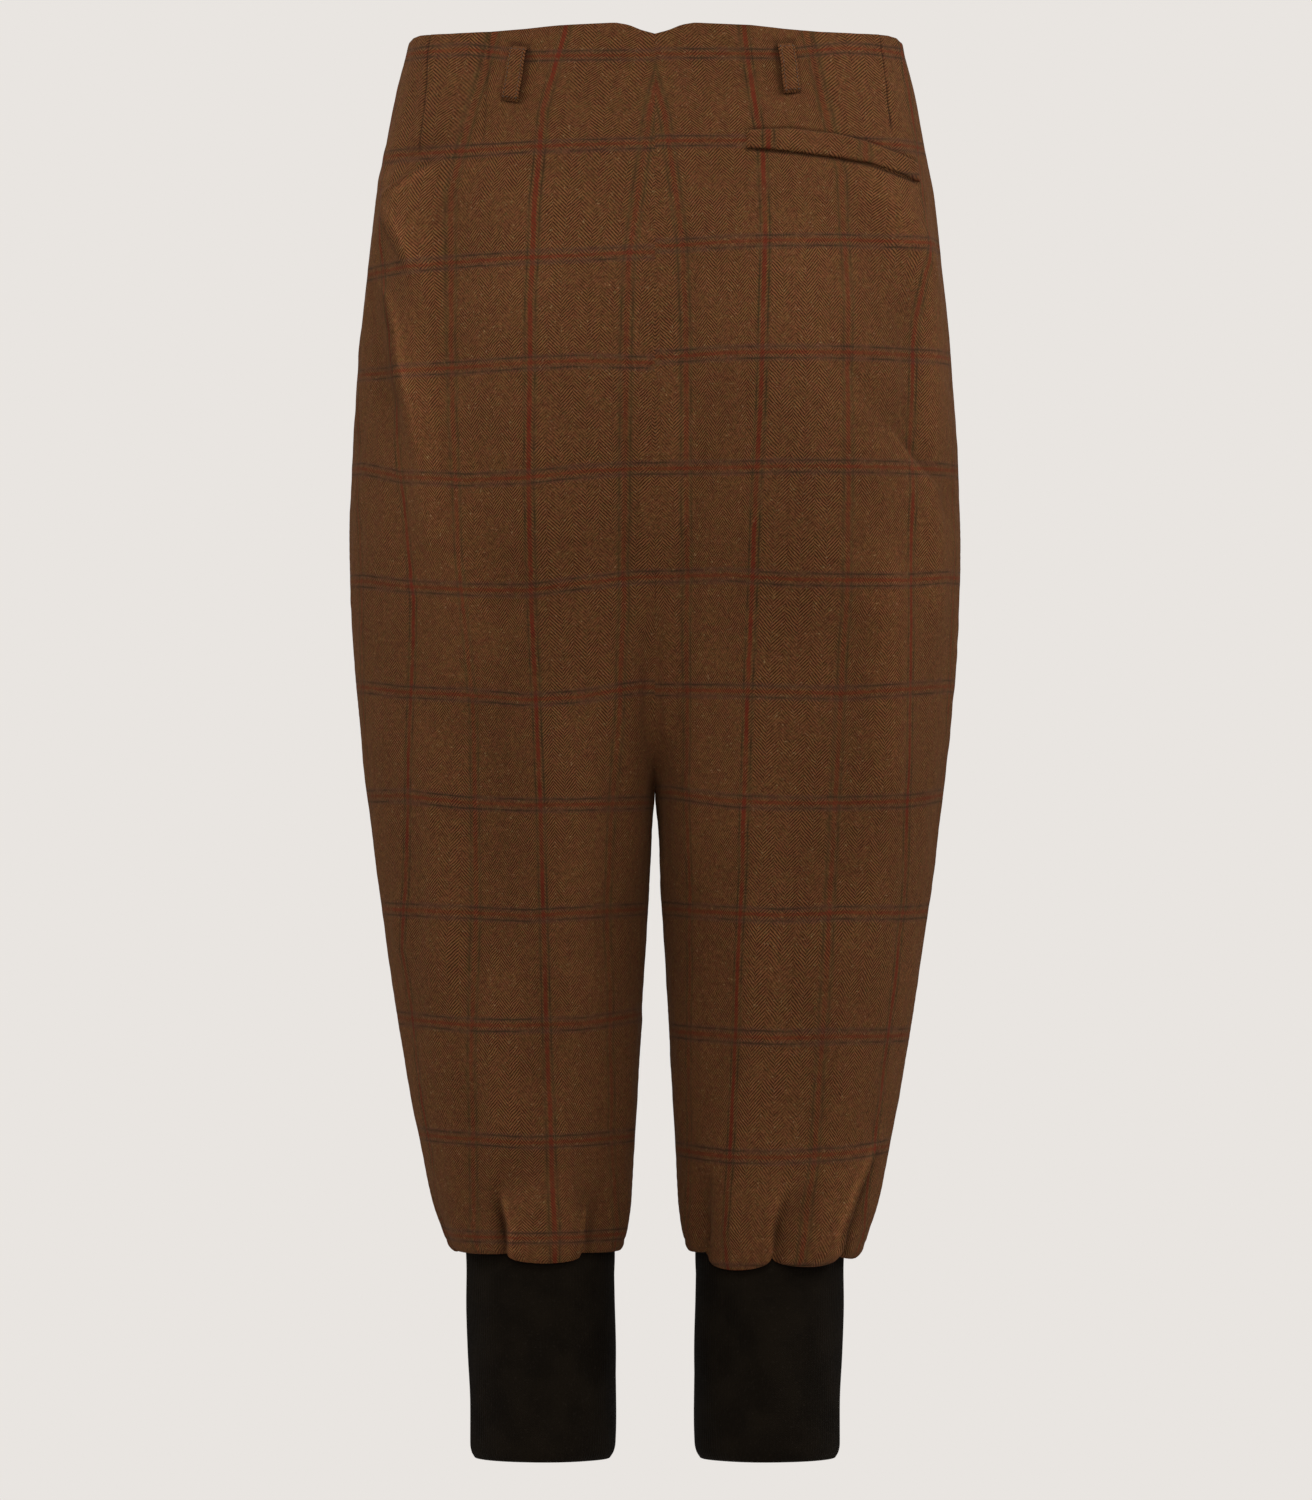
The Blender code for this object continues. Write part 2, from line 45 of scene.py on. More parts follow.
leg = {
    # z, outer, inner (below zero: cut flat at the centre), back, front, side seam, squareness
    "sections": np.array([
        (0.000, 0.1538, -0.1538, 0.117, 0.117, 0.000, 2.10),
        (-0.038, 0.1615, -0.1615, 0.121, 0.121, 0.001, 2.10),
        (-0.076, 0.1686, -0.1680, 0.129, 0.124, 0.002, 2.12),
        (-0.100, 0.1730, -0.1690, 0.134, 0.126, 0.003, 2.14),
        (-0.138, 0.1773, -0.1620, 0.141, 0.127, 0.004, 2.18),
        (-0.187, 0.1823, -0.1430, 0.148, 0.127, 0.005, 2.20),
        (-0.237, 0.1860, -0.1120, 0.149, 0.125, 0.006, 2.20),
        (-0.299, 0.1891, -0.0640, 0.139, 0.121, 0.005, 2.18),
        (-0.336, 0.1891, -0.0350, 0.129, 0.118, 0.004, 2.15),
        (-0.386, 0.1866, -0.0150, 0.118, 0.113, 0.002, 2.12),
        (-0.435, 0.1823, -0.0060, 0.109, 0.109, 0.000, 2.10),
        (-0.472, 0.1783, 0.0005, 0.103, 0.106, -0.002, 2.08),
        (-0.534, 0.1705, 0.0037, 0.092, 0.101, -0.005, 2.06),
        (-0.596, 0.1618, 0.0074, 0.080, 0.096, -0.008, 2.05),
        (-0.658, 0.1516, 0.0105, 0.069, 0.089, -0.009, 2.03),
        (-0.696, 0.1445, 0.0124, 0.063, 0.082, -0.008, 2.00),
        (-0.720, 0.1383, 0.0149, 0.060, 0.077, -0.007, 2.00),
        (-0.738, 0.1318, 0.0180, 0.057, 0.071, -0.006, 2.00),
    ]),
    "crotch": -0.330,         # lowest point of the seat seam
    "seatCurve": -0.262,      # where the seat seam leaves the outside
    "legsPart": -0.430,
    "hem": -0.738,            # where the leg starts to roll under
    # the roll of the hem: step, z, share of the way from the leg's section to the cuff's
    "roll": np.array([
        (5.0, -0.7425, 1.00), (4.0, -0.7485, 0.92), (3.0, -0.7505, 0.63), (2.0, -0.7480, 0.34),
        (1.0, -0.7435, 0.16), (0.0, -0.7380, 0.00),
    ]),
    "rollRows": 18,
    "edgeGap": 0.0,
    "valleySoft": 0.012,      # half width over which the valley between the halves is rounded
    "cloth": 0.0014,
    "rowStep": 0.0023,
    "hemRowStep": 0.0013,
    "hemRowsFrom": -0.700,
    "columns": 68,            # between the narrow ones along each edge
    "edgeSteps": (0.0, 0.0004, 0.0009, 0.0015, 0.0022, 0.0031, 0.0043, 0.0060, 0.0085),
    "topSteps": (0.0, 0.0005, 0.0012, 0.0022, 0.0035, 0.0050),
}
# how much squarer the inner half of each leg is pressed against the other: z, extra squareness
legPress = np.array([(0.0, 0.0), (-0.200, 0.0), (-0.300, 0.5), (-0.400, 1.1), (-0.450, 0.9), (-0.560, 0.15), (-0.700, 0.0),
                     (-0.900, 0.0)])
# edge of the waist: distance from the centre seam, height at the back, height at the front
waistEdge = np.array([
    (0.000, -0.0058, -0.0030), (0.008, -0.0037, -0.0030), (0.016, -0.0004, -0.0030), (0.024, 0.0010, -0.0029),
    (0.058, -0.0001, -0.0026), (0.080, -0.0019, -0.0022), (0.100, -0.0028, -0.0018), (0.125, -0.0025, -0.0014),
    (0.145, -0.0016, -0.0016), (0.149, -0.0024, -0.0026), (0.152, -0.0046, -0.0048), (0.1538, -0.0084, -0.0084),
])
waistEdgeReach = 0.060

cuff = {
    # z, centre x, centre y, half width, half depth
    "sections": np.array([
        (-0.7385, 0.0716, -0.0045, 0.0464, 0.0520), (-0.760, 0.0711, -0.0040, 0.0462, 0.0519),
        (-0.800, 0.0704, -0.0028, 0.0458, 0.0516), (-0.840, 0.0695, -0.0012, 0.0453, 0.0511),
        (-0.871, 0.0694, 0.0000, 0.0452, 0.0508), (-0.8765, 0.0694, 0.0002, 0.0441, 0.0497),
        (-0.8797, 0.0694, 0.0003, 0.0421, 0.0477),
    ]),
    "wall": 0.0030,
    "ribs": 132,
    "ribDepth": 0.00022,
    "pointsPerRib": 4,
    "rows": 46,
}

# folds: panel, x and z at the upper end, x and z at the lower end, half width, height (below zero: a valley)
folds = [
    ("back_left", 0.163, -0.100, 0.142, -0.150, 0.014, 0.0050),
    ("back_left", 0.136, -0.240, 0.106, -0.390, 0.018, 0.0045),
    ("back_left", 0.136, -0.072, 0.160, -0.080, 0.006, -0.0022),
    ("back_left", 0.148, -0.222, 0.137, -0.305, 0.0090, 0.0032),
    ("back_left", 0.176, -0.165, 0.166, -0.225, 0.0070, -0.0036),
    ("back_left", 0.125, -0.120, 0.124, -0.290, 0.012, -0.0026),
    ("back_left", 0.112, -0.150, 0.098, -0.330, 0.022, -0.0015),
    ("back_left", 0.098, -0.410, 0.086, -0.545, 0.018, -0.0035),
    ("back_left", 0.090, -0.590, 0.092, -0.670, 0.013, 0.0035),
    ("back_left", 0.070, -0.600, 0.074, -0.640, 0.012, -0.0030),
    ("back_left", 0.112, -0.660, 0.110, -0.730, 0.010, -0.0025),
    ("back_left", 0.0960, -0.712, 0.0950, -0.750, 0.0045, -0.0034),
    ("back_left", 0.0340, -0.725, 0.0330, -0.748, 0.0080, -0.0036),
    ("back_right", 0.0900, -0.722, 0.0750, -0.744, 0.0065, -0.0034),
    ("back_right", 0.0300, -0.712, 0.0270, -0.746, 0.0045, -0.0034),
    ("back_right", 0.146, -0.108, 0.157, -0.128, 0.011, 0.0060),
    ("back_right", 0.128, -0.130, 0.142, -0.180, 0.013, -0.0026),
    ("back_right", 0.156, -0.180, 0.157, -0.230, 0.009, -0.0034),
    ("back_right", 0.0195, -0.135, 0.0195, -0.225, 0.006, -0.0015),
    ("back_right", 0.170, -0.150, 0.173, -0.350, 0.008, 0.0035),
    ("back_right", 0.132, -0.225, 0.176, -0.285, 0.011, -0.0030),
    ("back_right", 0.144, -0.345, 0.144, -0.450, 0.013, 0.0045),
    ("back_right", 0.118, -0.380, 0.112, -0.520, 0.016, -0.0030),
    ("back_right", 0.066, -0.560, 0.070, -0.690, 0.015, 0.0030),
    ("front_left", 0.060, -0.150, 0.030, -0.300, 0.016, 0.0035),
    ("front_left", 0.152, -0.180, 0.128, -0.360, 0.014, -0.0040),
    ("front_left", 0.100, -0.400, 0.094, -0.580, 0.018, 0.0040),
    ("front_left", 0.058, -0.600, 0.062, -0.720, 0.012, -0.0040),
    ("front_left", 0.108, -0.640, 0.102, -0.738, 0.011, -0.0040),
    ("front_right", 0.050, -0.170, 0.026, -0.310, 0.015, 0.0035),
    ("front_right", 0.146, -0.160, 0.134, -0.340, 0.015, -0.0040),
    ("front_right", 0.092, -0.390, 0.098, -0.560, 0.017, 0.0040),
    ("front_right", 0.064, -0.590, 0.058, -0.710, 0.012, -0.0040),
    ("front_right", 0.104, -0.650, 0.110, -0.738, 0.010, -0.0035),
    # the finer creases between them
    ("back_left", 0.0145, -0.262, 0.0135, -0.330, 0.0050, -0.0014),
    ("back_left", 0.0060, -0.290, 0.0050, -0.350, 0.0040, 0.0012),
    ("back_left", 0.0035, -0.375, 0.0035, -0.440, 0.0040, -0.0020),
    ("back_right", 0.0075, -0.365, 0.0068, -0.430, 0.0032, 0.0020),
    ("back_right", 0.0200, -0.250, 0.0190, -0.300, 0.0045, 0.0016),
    ("back_right", 0.0090, -0.225, 0.0140, -0.300, 0.0050, 0.0010),
    ("back_right", 0.0230, -0.240, 0.0190, -0.340, 0.0055, -0.0013),
    ("back_left", 0.150, -0.088, 0.132, -0.118, 0.009, 0.0012),
    ("back_left", 0.168, -0.215, 0.150, -0.262, 0.008, -0.0014),
    ("back_left", 0.060, -0.225, 0.030, -0.315, 0.014, -0.0016),
    ("back_left", 0.020, -0.240, 0.010, -0.330, 0.010, -0.0018),
    ("back_left", 0.030, -0.385, 0.012, -0.470, 0.009, 0.0016),
    ("back_left", 0.048, -0.440, 0.044, -0.590, 0.012, 0.0016),
    ("back_left", 0.140, -0.440, 0.128, -0.560, 0.010, 0.0015),
    ("back_left", 0.152, -0.480, 0.146, -0.600, 0.008, -0.0012),
    ("back_left", 0.060, -0.655, 0.056, -0.725, 0.008, 0.0014),
    ("back_left", 0.088, -0.700, 0.091, -0.742, 0.005, -0.0018),
    ("back_right", 0.040, -0.235, 0.022, -0.330, 0.012, -0.0018),
    ("back_right", 0.088, -0.165, 0.104, -0.225, 0.012, 0.0012),
    ("back_right", 0.150, -0.088, 0.168, -0.125, 0.011, 0.0018),
    ("back_right", 0.030, -0.390, 0.020, -0.500, 0.010, 0.0014),
    ("back_right", 0.088, -0.470, 0.084, -0.600, 0.012, -0.0014),
    ("back_right", 0.048, -0.520, 0.040, -0.640, 0.009, -0.0013),
    ("back_right", 0.100, -0.640, 0.092, -0.725, 0.009, -0.0016),
    ("back_right", 0.052, -0.690, 0.048, -0.740, 0.006, 0.0014),
    ("front_left", 0.120, -0.110, 0.100, -0.170, 0.010, 0.0014),
    ("front_left", 0.040, -0.225, 0.014, -0.310, 0.009, -0.0016),
    ("front_left", 0.080, -0.300, 0.058, -0.380, 0.013, -0.0016),
    ("front_left", 0.140, -0.420, 0.132, -0.540, 0.010, 0.0016),
    ("front_left", 0.036, -0.430, 0.034, -0.560, 0.010, 0.0014),
    ("front_left", 0.084, -0.640, 0.086, -0.725, 0.008, 0.0015),
    ("front_right", 0.112, -0.120, 0.096, -0.185, 0.011, 0.0013),
    ("front_right", 0.046, -0.240, 0.016, -0.325, 0.010, -0.0017),
    ("front_right", 0.076, -0.320, 0.060, -0.400, 0.012, -0.0014),
    ("front_right", 0.136, -0.400, 0.140, -0.520, 0.009, 0.0016),
    ("front_right", 0.034, -0.450, 0.038, -0.580, 0.011, 0.0013),
    ("front_right", 0.082, -0.620, 0.080, -0.715, 0.009, 0.0016),
]
foldSeamFade = 0.35       # sine of the angle from the side seam where a fold is at its full height
foldEndReach = 2.0        # half widths over which a fold runs out

# gathers at each hem: start in degrees round the leg from the side seam over the back, drop of the crown
hemGathers = {
    "left": [(8.0, 0.0015), (69.0, 0.0065), (123.0, 0.0010), (199.0, 0.0055), (245.0, 0.0030), (290.0, 0.0070),
             (329.0, 0.0025)],
    "right": [(36.0, 0.0090), (91.0, 0.0110), (144.0, 0.0015), (200.0, 0.0060), (248.0, 0.0035), (298.0, 0.0065),
              (342.0, 0.0060)],
}
hem = {"swell": 0.0046, "sink": 0.6, "roundness": 0.8, "dropRoundness": 0.28, "reach": 0.085,
       "bandFrom": -0.7445, "bandDip": 0.0005, "bandWidth": 0.0012}

# laps and sharp creases: panel, how far the high side reaches (below zero: it lies on the outer side), height,
# share of its length over which it runs out below, places from the top down
laps = [
    ("back_left", 0.016, 0.0030, 0.3, [(0.1270, -0.0815), (0.1480, -0.0890), (0.1672, -0.1035)]),
    ("back_left", 0.013, 0.0034, 0.4, [(0.1685, -0.1030), (0.1590, -0.1230), (0.1520, -0.1370), (0.1480, -0.1560)]),
    ("back_left", 0.017, 0.0040, 0.5, [(0.1750, -0.1480), (0.1630, -0.1650), (0.1580, -0.1860), (0.1545, -0.2150),
                                       (0.1450, -0.2600)]),
    ("back_right", 0.018, 0.0024, 0.5, [(0.1388, -0.2397), (0.1543, -0.2607), (0.1710, -0.2815), (0.1780, -0.3057)]),
    ("back_right", 0.016, 0.0046, 0.001, [(0.1446, -0.6758), (0.1354, -0.6875), (0.1243, -0.7121),
                                          (0.1150, -0.7367), (0.1077, -0.7551)]),
    ("back_right", 0.012, 0.0036, 0.001, [(0.0800, -0.7050), (0.0722, -0.7350), (0.0716, -0.7580)]),
    ("back_left", 0.014, 0.0044, 0.001, [(0.0970, -0.7080), (0.0903, -0.7333), (0.0897, -0.7560)]),
    ("back_left", -0.012, 0.0032, 0.001, [(0.0400, -0.7150), (0.0440, -0.7380), (0.0480, -0.7560)]),
    ("front_left", 0.014, 0.0034, 0.4, [(0.1300, -0.0900), (0.1500, -0.1040), (0.1640, -0.1240)]),
    ("front_left", 0.012, 0.0036, 0.001, [(0.0920, -0.6950), (0.0860, -0.7250), (0.0840, -0.7550)]),
    ("front_right", 0.014, 0.0034, 0.4, [(0.1560, -0.1900), (0.1480, -0.2150), (0.1450, -0.2500)]),
    ("front_right", -0.012, 0.0032, 0.001, [(0.0560, -0.7000), (0.0590, -0.7300), (0.0600, -0.7550)]),
    ("front_right", 0.014, 0.0038, 0.001, [(0.1250, -0.6800), (0.1120, -0.7150), (0.1060, -0.7550)]),
]
lapDrop = 0.0016          # width over which a lap falls to the cloth under it
# painted light: how much lighter or darker the cloth is painted, for each metre that a fold or a lap rises (painted
# highlight on crests, painted shade in hollows and under laps)
paintedLight = {"fold": 26.0, "crest": 108.0, "under": 62.0, "behind": 22.0, "gather": 0.30, "gatherReach": 0.034}

# darts: panel, x and z at the waist, x and z at the point, strength
darts = [
    ("back_left", 0.1007, 0.004, 0.1048, -0.0771, 0.55),
    ("back_left", 0.1378, 0.004, 0.1452, -0.0801, 0.90),
    ("back_right", 0.0940, 0.004, 0.1018, -0.0580, 0.45),
    ("back_right", 0.1376, 0.004, 0.1459, -0.0655, 1.20),
]
dartShape = {"depth": 0.0011, "width": 0.0008, "ridge": 0.0005, "ridgeWidth": 0.007, "refine": 0.0036}
seamShape = {"centreDepth": 0.00012, "sideDepth": 0.0009, "width": 0.0012, "shoulder": 0.0004, "shoulderWidth": 0.006,
             "pucker": 0.00014, "centreShade": 0.05, "sideShade": 0.7}

welt = {
    # distance from the centre seam, z of the upper and of the lower edge
    "edges": np.array([
        (0.0553, -0.0647, -0.0757), (0.0809, -0.0631, -0.0774), (0.1097, -0.0654, -0.0803),
        (0.1314, -0.0698, -0.0832), (0.1478, -0.0748, -0.0882), (0.1610, -0.0806, -0.0925),
    ]),
    "rise": 0.0010,
    "slot": 0.0014,
    "slotWidth": 0.0011,
    "columns": 120,
    "rows": 12,
}

loops = {
    "width": 0.0115,
    "wall": 0.0017,
    "rise": 0.0024,
    "shoulder": 0.09,
    "rows": 48,
    "around": 28,
    # name, panel, x and z at the top, x and z at the bottom
    "places": [
        ("belt_loop_back_left", "back_left", 0.0820, -0.0114, 0.0878, -0.0463),
        ("belt_loop_back_right", "back_right", 0.0787, -0.0097, 0.0829, -0.0413),
        ("belt_loop_front_left", "front_left", 0.0840, -0.0110, 0.0850, -0.0460),
        ("belt_loop_front_right", "front_right", 0.0840, -0.0110, 0.0850, -0.0460),
    ],
}

shield = {"halfWidth": 0.022, "top": -0.012, "bottom": -0.190, "taper": 0.45, "taperStart": 0.7, "rows": 60,
          "columns": 22, "lift": -0.0022, "wall": 0.0014}

button = {"radius": 0.0085, "thickness": 0.0032, "x": 0.0095, "z": -0.0170, "lift": 0.0009, "hole": 0.00085,
          "holeReach": 0.0023, "thread": 0.00065}

# the windowpane check. The upright bars of each half: z and distance from the centre seam
barWidth = 0.059
barHeight = 0.0655
uprightBars = {
    "back_left": [
        [(0.010, -0.0120), (0.000, -0.0100), (-0.0528, 0.0029), (-0.1448, 0.0159), (-0.1996, 0.0176),
         (-0.350, 0.0185), (-0.533, 0.0297), (-0.650, 0.0270), (-0.760, 0.0230)],
        [(0.010, 0.0530), (-0.0057, 0.0555), (-0.0522, 0.0685), (-0.1076, 0.0729), (-0.1689, 0.0756),
         (-0.278, 0.0768), (-0.3504, 0.0755), (-0.4719, 0.0701), (-0.5945, 0.0664), (-0.7455, 0.0621)],
        [(0.010, 0.0940), (-0.0081, 0.0988), (-0.0693, 0.1156), (-0.103, 0.1253), (-0.1985, 0.1253),
         (-0.2534, 0.1221), (-0.3261, 0.1182), (-0.411, 0.1108), (-0.5392, 0.1091), (-0.6563, 0.1137),
         (-0.7432, 0.1125)],
        [(0.010, 0.1520), (-0.070, 0.1660), (-0.1300, 0.1680), (-0.1969, 0.1627), (-0.3501, 0.1461), (-0.5151, 0.1537),
         (-0.5648, 0.1560), (-0.760, 0.1300)],
    ],
    "back_right": [
        [(0.010, -0.0120), (0.000, -0.0100), (-0.0559, 0.0060), (-0.1326, 0.0166), (-0.1874, 0.0189),
         (-0.350, 0.0195), (-0.533, 0.0220), (-0.760, 0.0200)],
        [(0.010, 0.0530), (-0.0125, 0.0556), (-0.0769, 0.0655), (-0.120, 0.0670), (-0.2298, 0.0638),
         (-0.2901, 0.0604), (-0.3503, 0.0583), (-0.411, 0.0557), (-0.5086, 0.0530), (-0.6254, 0.0485),
         (-0.7491, 0.0439)],
        [(0.010, 0.0890), (-0.0083, 0.0930), (-0.090, 0.1130), (-0.168, 0.1175), (-0.3503, 0.1175),
         (-0.5147, 0.1084), (-0.6931, 0.0985), (-0.7425, 0.0909)],
        [(0.010, 0.1500), (-0.070, 0.1620), (-0.130, 0.1640), (-0.200, 0.1600), (-0.350, 0.1543), (-0.5336, 0.1536),
         (-0.760, 0.1260)],
    ],
    "front_left": [
        [(0.010, 0.0120), (-0.200, 0.0140), (-0.350, 0.0180), (-0.533, 0.0280), (-0.760, 0.0250)],
        [(0.010, 0.0640), (-0.200, 0.0720), (-0.350, 0.0740), (-0.533, 0.0700), (-0.760, 0.0640)],
        [(0.010, 0.1080), (-0.200, 0.1230), (-0.350, 0.1230), (-0.533, 0.1120), (-0.760, 0.1120)],
        [(0.010, 0.1380), (-0.200, 0.1610), (-0.350, 0.1560), (-0.533, 0.1500), (-0.760, 0.1300)],
    ],
    "front_right": [
        [(0.010, 0.0120), (-0.200, 0.0150), (-0.350, 0.0190), (-0.533, 0.0250), (-0.760, 0.0220)],
        [(0.010, 0.0640), (-0.200, 0.0710), (-0.350, 0.0700), (-0.533, 0.0640), (-0.760, 0.0560)],
        [(0.010, 0.1080), (-0.200, 0.1210), (-0.350, 0.1200), (-0.533, 0.1120), (-0.760, 0.1060)],
        [(0.010, 0.1380), (-0.200, 0.1600), (-0.350, 0.1570), (-0.533, 0.1510), (-0.760, 0.1290)],
    ],
}
# the level bars: z of each at these distances from the centre seam
levelBarsAt = (0.010, 0.045, 0.078, 0.115, 0.155, 0.180)
levelBars = {
    "left": np.array([
        (-0.0190, -0.0190, -0.0190, -0.0130, -0.0125, -0.0125),
        (-0.0730, -0.0738, -0.0745, -0.0761, -0.0757, -0.0761),
        (-0.1400, -0.1417, -0.1428, -0.1442, -0.1467, -0.1490),
        (-0.2072, -0.2060, -0.2070, -0.2090, -0.2105, -0.2109),
        (-0.2709, -0.2730, -0.2765, -0.2777, -0.2751, -0.2684),
        (-0.3362, -0.3402, -0.3445, -0.3442, -0.3414, -0.3377),
        (-0.4030, -0.4090, -0.4110, -0.4078, -0.4060, -0.4026),
        (-0.4740, -0.4747, -0.4750, -0.4735, -0.4692, -0.4700),
        (-0.5395, -0.5408, -0.5427, -0.5407, -0.5396, -0.5392),
        (-0.6048, -0.6092, -0.6098, -0.6099, -0.6070, -0.6070),
        (-0.6800, -0.6815, -0.6825, -0.6805, -0.6788, -0.6788),
        (-0.7405, -0.7409, -0.7411, -0.7411, -0.7400, -0.7400),
    ]),
    "right": np.array([
        (-0.0180, -0.0178, -0.0175, -0.0120, -0.0118, -0.0118),
        (-0.0715, -0.0712, -0.0707, -0.0705, -0.0703, -0.0700),
        (-0.1360, -0.1334, -0.1320, -0.1310, -0.1306, -0.1304),
        (-0.2036, -0.2010, -0.2005, -0.2000, -0.2002, -0.2004),
        (-0.2710, -0.2706, -0.2696, -0.2694, -0.2695, -0.2697),
        (-0.3360, -0.3350, -0.3377, -0.3382, -0.3380, -0.3355),
        (-0.4050, -0.4054, -0.4062, -0.4070, -0.4042, -0.4021),
        (-0.4672, -0.4725, -0.4737, -0.4737, -0.4727, -0.4690),
        (-0.5392, -0.5411, -0.5422, -0.5406, -0.5415, -0.5405),
        (-0.6150, -0.6168, -0.6177, -0.6170, -0.6177, -0.6177),
        (-0.6880, -0.6914, -0.6913, -0.6895, -0.6850, -0.6830),
        (-0.7620, -0.7620, -0.7620, -0.7620, -0.7620, -0.7620),
    ]),
}

sides = {"left": 1.0, "right": -1.0}
scene = bpy.context.scene


def smooth(t):
    t = np.clip(t, 0.0, 1.0)
    return t * t * (3.0 - 2.0 * t)


def bell(distance, width):
    return np.exp(-(distance / width) ** 2)


# smooth value of a table's column; the table's first column runs downwards
def curveValue(at, table, column):
    heights = table[::-1, 0]
    values = table[::-1, column]
    k = np.arange(len(heights))
    before = np.maximum(k - 1, 0)
    after = np.minimum(k + 1, len(heights) - 1)
    slopes = (values[after] - values[before]) / (heights[after] - heights[before])
    at = np.clip(at, heights[0], heights[-1])
    i = np.clip(np.searchsorted(heights, at) - 1, 0, len(heights) - 2)
    span = heights[i + 1] - heights[i]
    t = (at - heights[i]) / span
    rise = t * t * (3.0 - 2.0 * t)
    lead = t * (1.0 - t) ** 2 * span * slopes[i]
    tail = -t * t * (1.0 - t) * span * slopes[i + 1]
    return values[i] * (1.0 - rise) + values[i + 1] * rise + lead + tail


def legSection(z):
    outer, inner, back, front, sideY, square = (curveValue(z, leg["sections"], k) for k in range(1, 7))
    return {"x": (outer + inner) / 2, "y": sideY, "halfWidth": (outer - inner) / 2, "back": back - sideY,
            "front": front + sideY, "square": square, "press": curveValue(z, legPress, 1)}


def cuffSection(z):
    x, y, halfWidth, halfDepth = (curveValue(z, cuff["sections"], k) for k in range(1, 5))
    return {"x": x, "y": y, "halfWidth": halfWidth, "back": halfDepth, "front": halfDepth,
            "square": np.full_like(x, 2.0), "press": np.zeros_like(x)}


def between(first, second, share):
    return {key: first[key] * (1.0 - share) + second[key] * share for key in first}


# point and outward direction at an angle from the side (0) over the back (90 degrees) to the inside
def onSection(section, angle):
    c, s = np.cos(angle), np.sin(angle)
    power = 2.0 / np.where(c < 0, section["square"] + section["press"], section["square"])
    depth = np.where(s >= 0, section["back"], section["front"])
    x = section["x"] + section["halfWidth"] * np.sign(c) * np.abs(c) ** power
    y = section["y"] + depth * np.sign(s) * np.abs(s) ** power
    nx = np.sign(c) * np.abs(c) ** (2.0 - power) / section["halfWidth"]
    ny = np.sign(s) * np.abs(s) ** (2.0 - power) / depth
    length = np.hypot(nx, ny)
    return x, y, nx / length, ny / length


# how far the seat and the fork stand out of the sharp valley between the two halves
def valleyFill(section, x, z):
    soft = leg["valleySoft"] * smooth((z + 0.472) / 0.075)
    depths = []
    for at in (np.hypot(x, soft), x):
        ratio = np.clip((at - section["x"]) / section["halfWidth"], -1.0, 1.0)
        square = np.where(ratio < 0, section["square"] + section["press"], section["square"])
        depths.append((1.0 - np.abs(ratio) ** square) ** (1.0 / square))
    return (depths[0] - depths[1]) * bell(x, leg["valleySoft"] * 4), depths[1]


def angleAt(section, x, back):
    ratio = np.clip((x - section["x"]) / section["halfWidth"], -1.0, 1.0)
    square = np.where(ratio < 0, section["square"] + section["press"], section["square"])
    angle = np.arccos(np.sign(ratio) * np.abs(ratio) ** (square / 2.0))
    return angle if back else -angle


# distance of points from a straight line, and how far they lie past its ends
def fromLine(x, z, x0, z0, x1, z1):
    reach = math.hypot(x1 - x0, z1 - z0)
    ax, az = (x1 - x0) / reach, (z1 - z0) / reach
    t = (x - x0) * ax + (z - z0) * az
    across = (x - x0) * az - (z - z0) * ax
    past = np.maximum(np.maximum(-t, t - reach), 0.0)
    return across, past, t / reach


# the same for a bent line, from the nearest of its parts
def fromPath(x, z, places):
    parts = list(zip(places[:-1], places[1:]))
    reaches = [math.dist(*part) for part in parts]
    near = np.full_like(x, 9.0)
    across, past, share = np.zeros_like(x), np.zeros_like(x), np.zeros_like(x)
    for k, (start, end) in enumerate(parts):
        beside, beyond, t = fromLine(x, z, *start, *end)
        far = np.hypot(beside, beyond)
        closer = far < near
        near = np.where(closer, far, near)
        along = (sum(reaches[:k]) + np.clip(t, 0.0, 1.0) * reaches[k]) / sum(reaches)
        across = np.where(closer, beside, across)
        past = np.where(closer, beyond, past)
        share = np.where(closer, along, share)
    return across, past, share


# height of the folds, and the painted light that goes with them: painted highlight on their crests and painted shade
# in the hollows beside them
def foldRelief(panel, x, z, angle):
    height, tone = np.zeros_like(x), np.zeros_like(x)
    for name, x0, z0, x1, z1, halfWidth, rise in folds:
        if name == panel:
            across, past, _ = fromLine(x, z, x0, z0, x1, z1)
            fold = rise * bell(past, foldEndReach * halfWidth) * bell(across, halfWidth)
            height += fold
            # folds painted lighter on their ridges and darker in their valleys
            tone += paintedLight["fold"] * fold
    for name, reach, rise, runOut, places in laps:
        if name == panel:
            across, past, t = fromPath(x, z, places)
            inwards = across * math.copysign(1.0, reach)
            slope = np.where(inwards > 0, np.exp(-inwards / abs(reach)), bell(inwards, lapDrop))
            fade = smooth(t / 0.35) * smooth((1.0 - t) / runOut) * bell(past, 0.004)
            height += rise * slope * fade
            # painted highlight along each lap's crest, painted shade in the hollow under it
            line = paintedLight["crest"] * bell(inwards - 0.0012, 0.0020) - paintedLight["under"] * bell(inwards + 0.0032, 0.0030)
            tone += rise * fade * (line + paintedLight["behind"] * bell(inwards - 0.006, 0.010))
    fade = smooth(np.abs(np.sin(angle)) / foldSeamFade)
    return height * fade, tone * fade


# arch of the gather that each angle lies in, and how low that gather hangs
def gatherAt(half, angle):
    starts = np.array([start for start, _ in hemGathers[half]])
    drops = np.array([drop for _, drop in hemGathers[half]])
    turn = np.degrees(angle) % 360.0
    turn = np.where(turn < starts[0], turn + 360.0, turn)
    ends = np.append(starts[1:], starts[0] + 360.0)
    k = np.clip(np.searchsorted(starts, turn, side="right") - 1, 0, len(starts) - 1)
    arch = np.sin(np.pi * (turn - starts[k]) / (ends[k] - starts[k]))
    return np.maximum(arch, 0.0), drops[k]


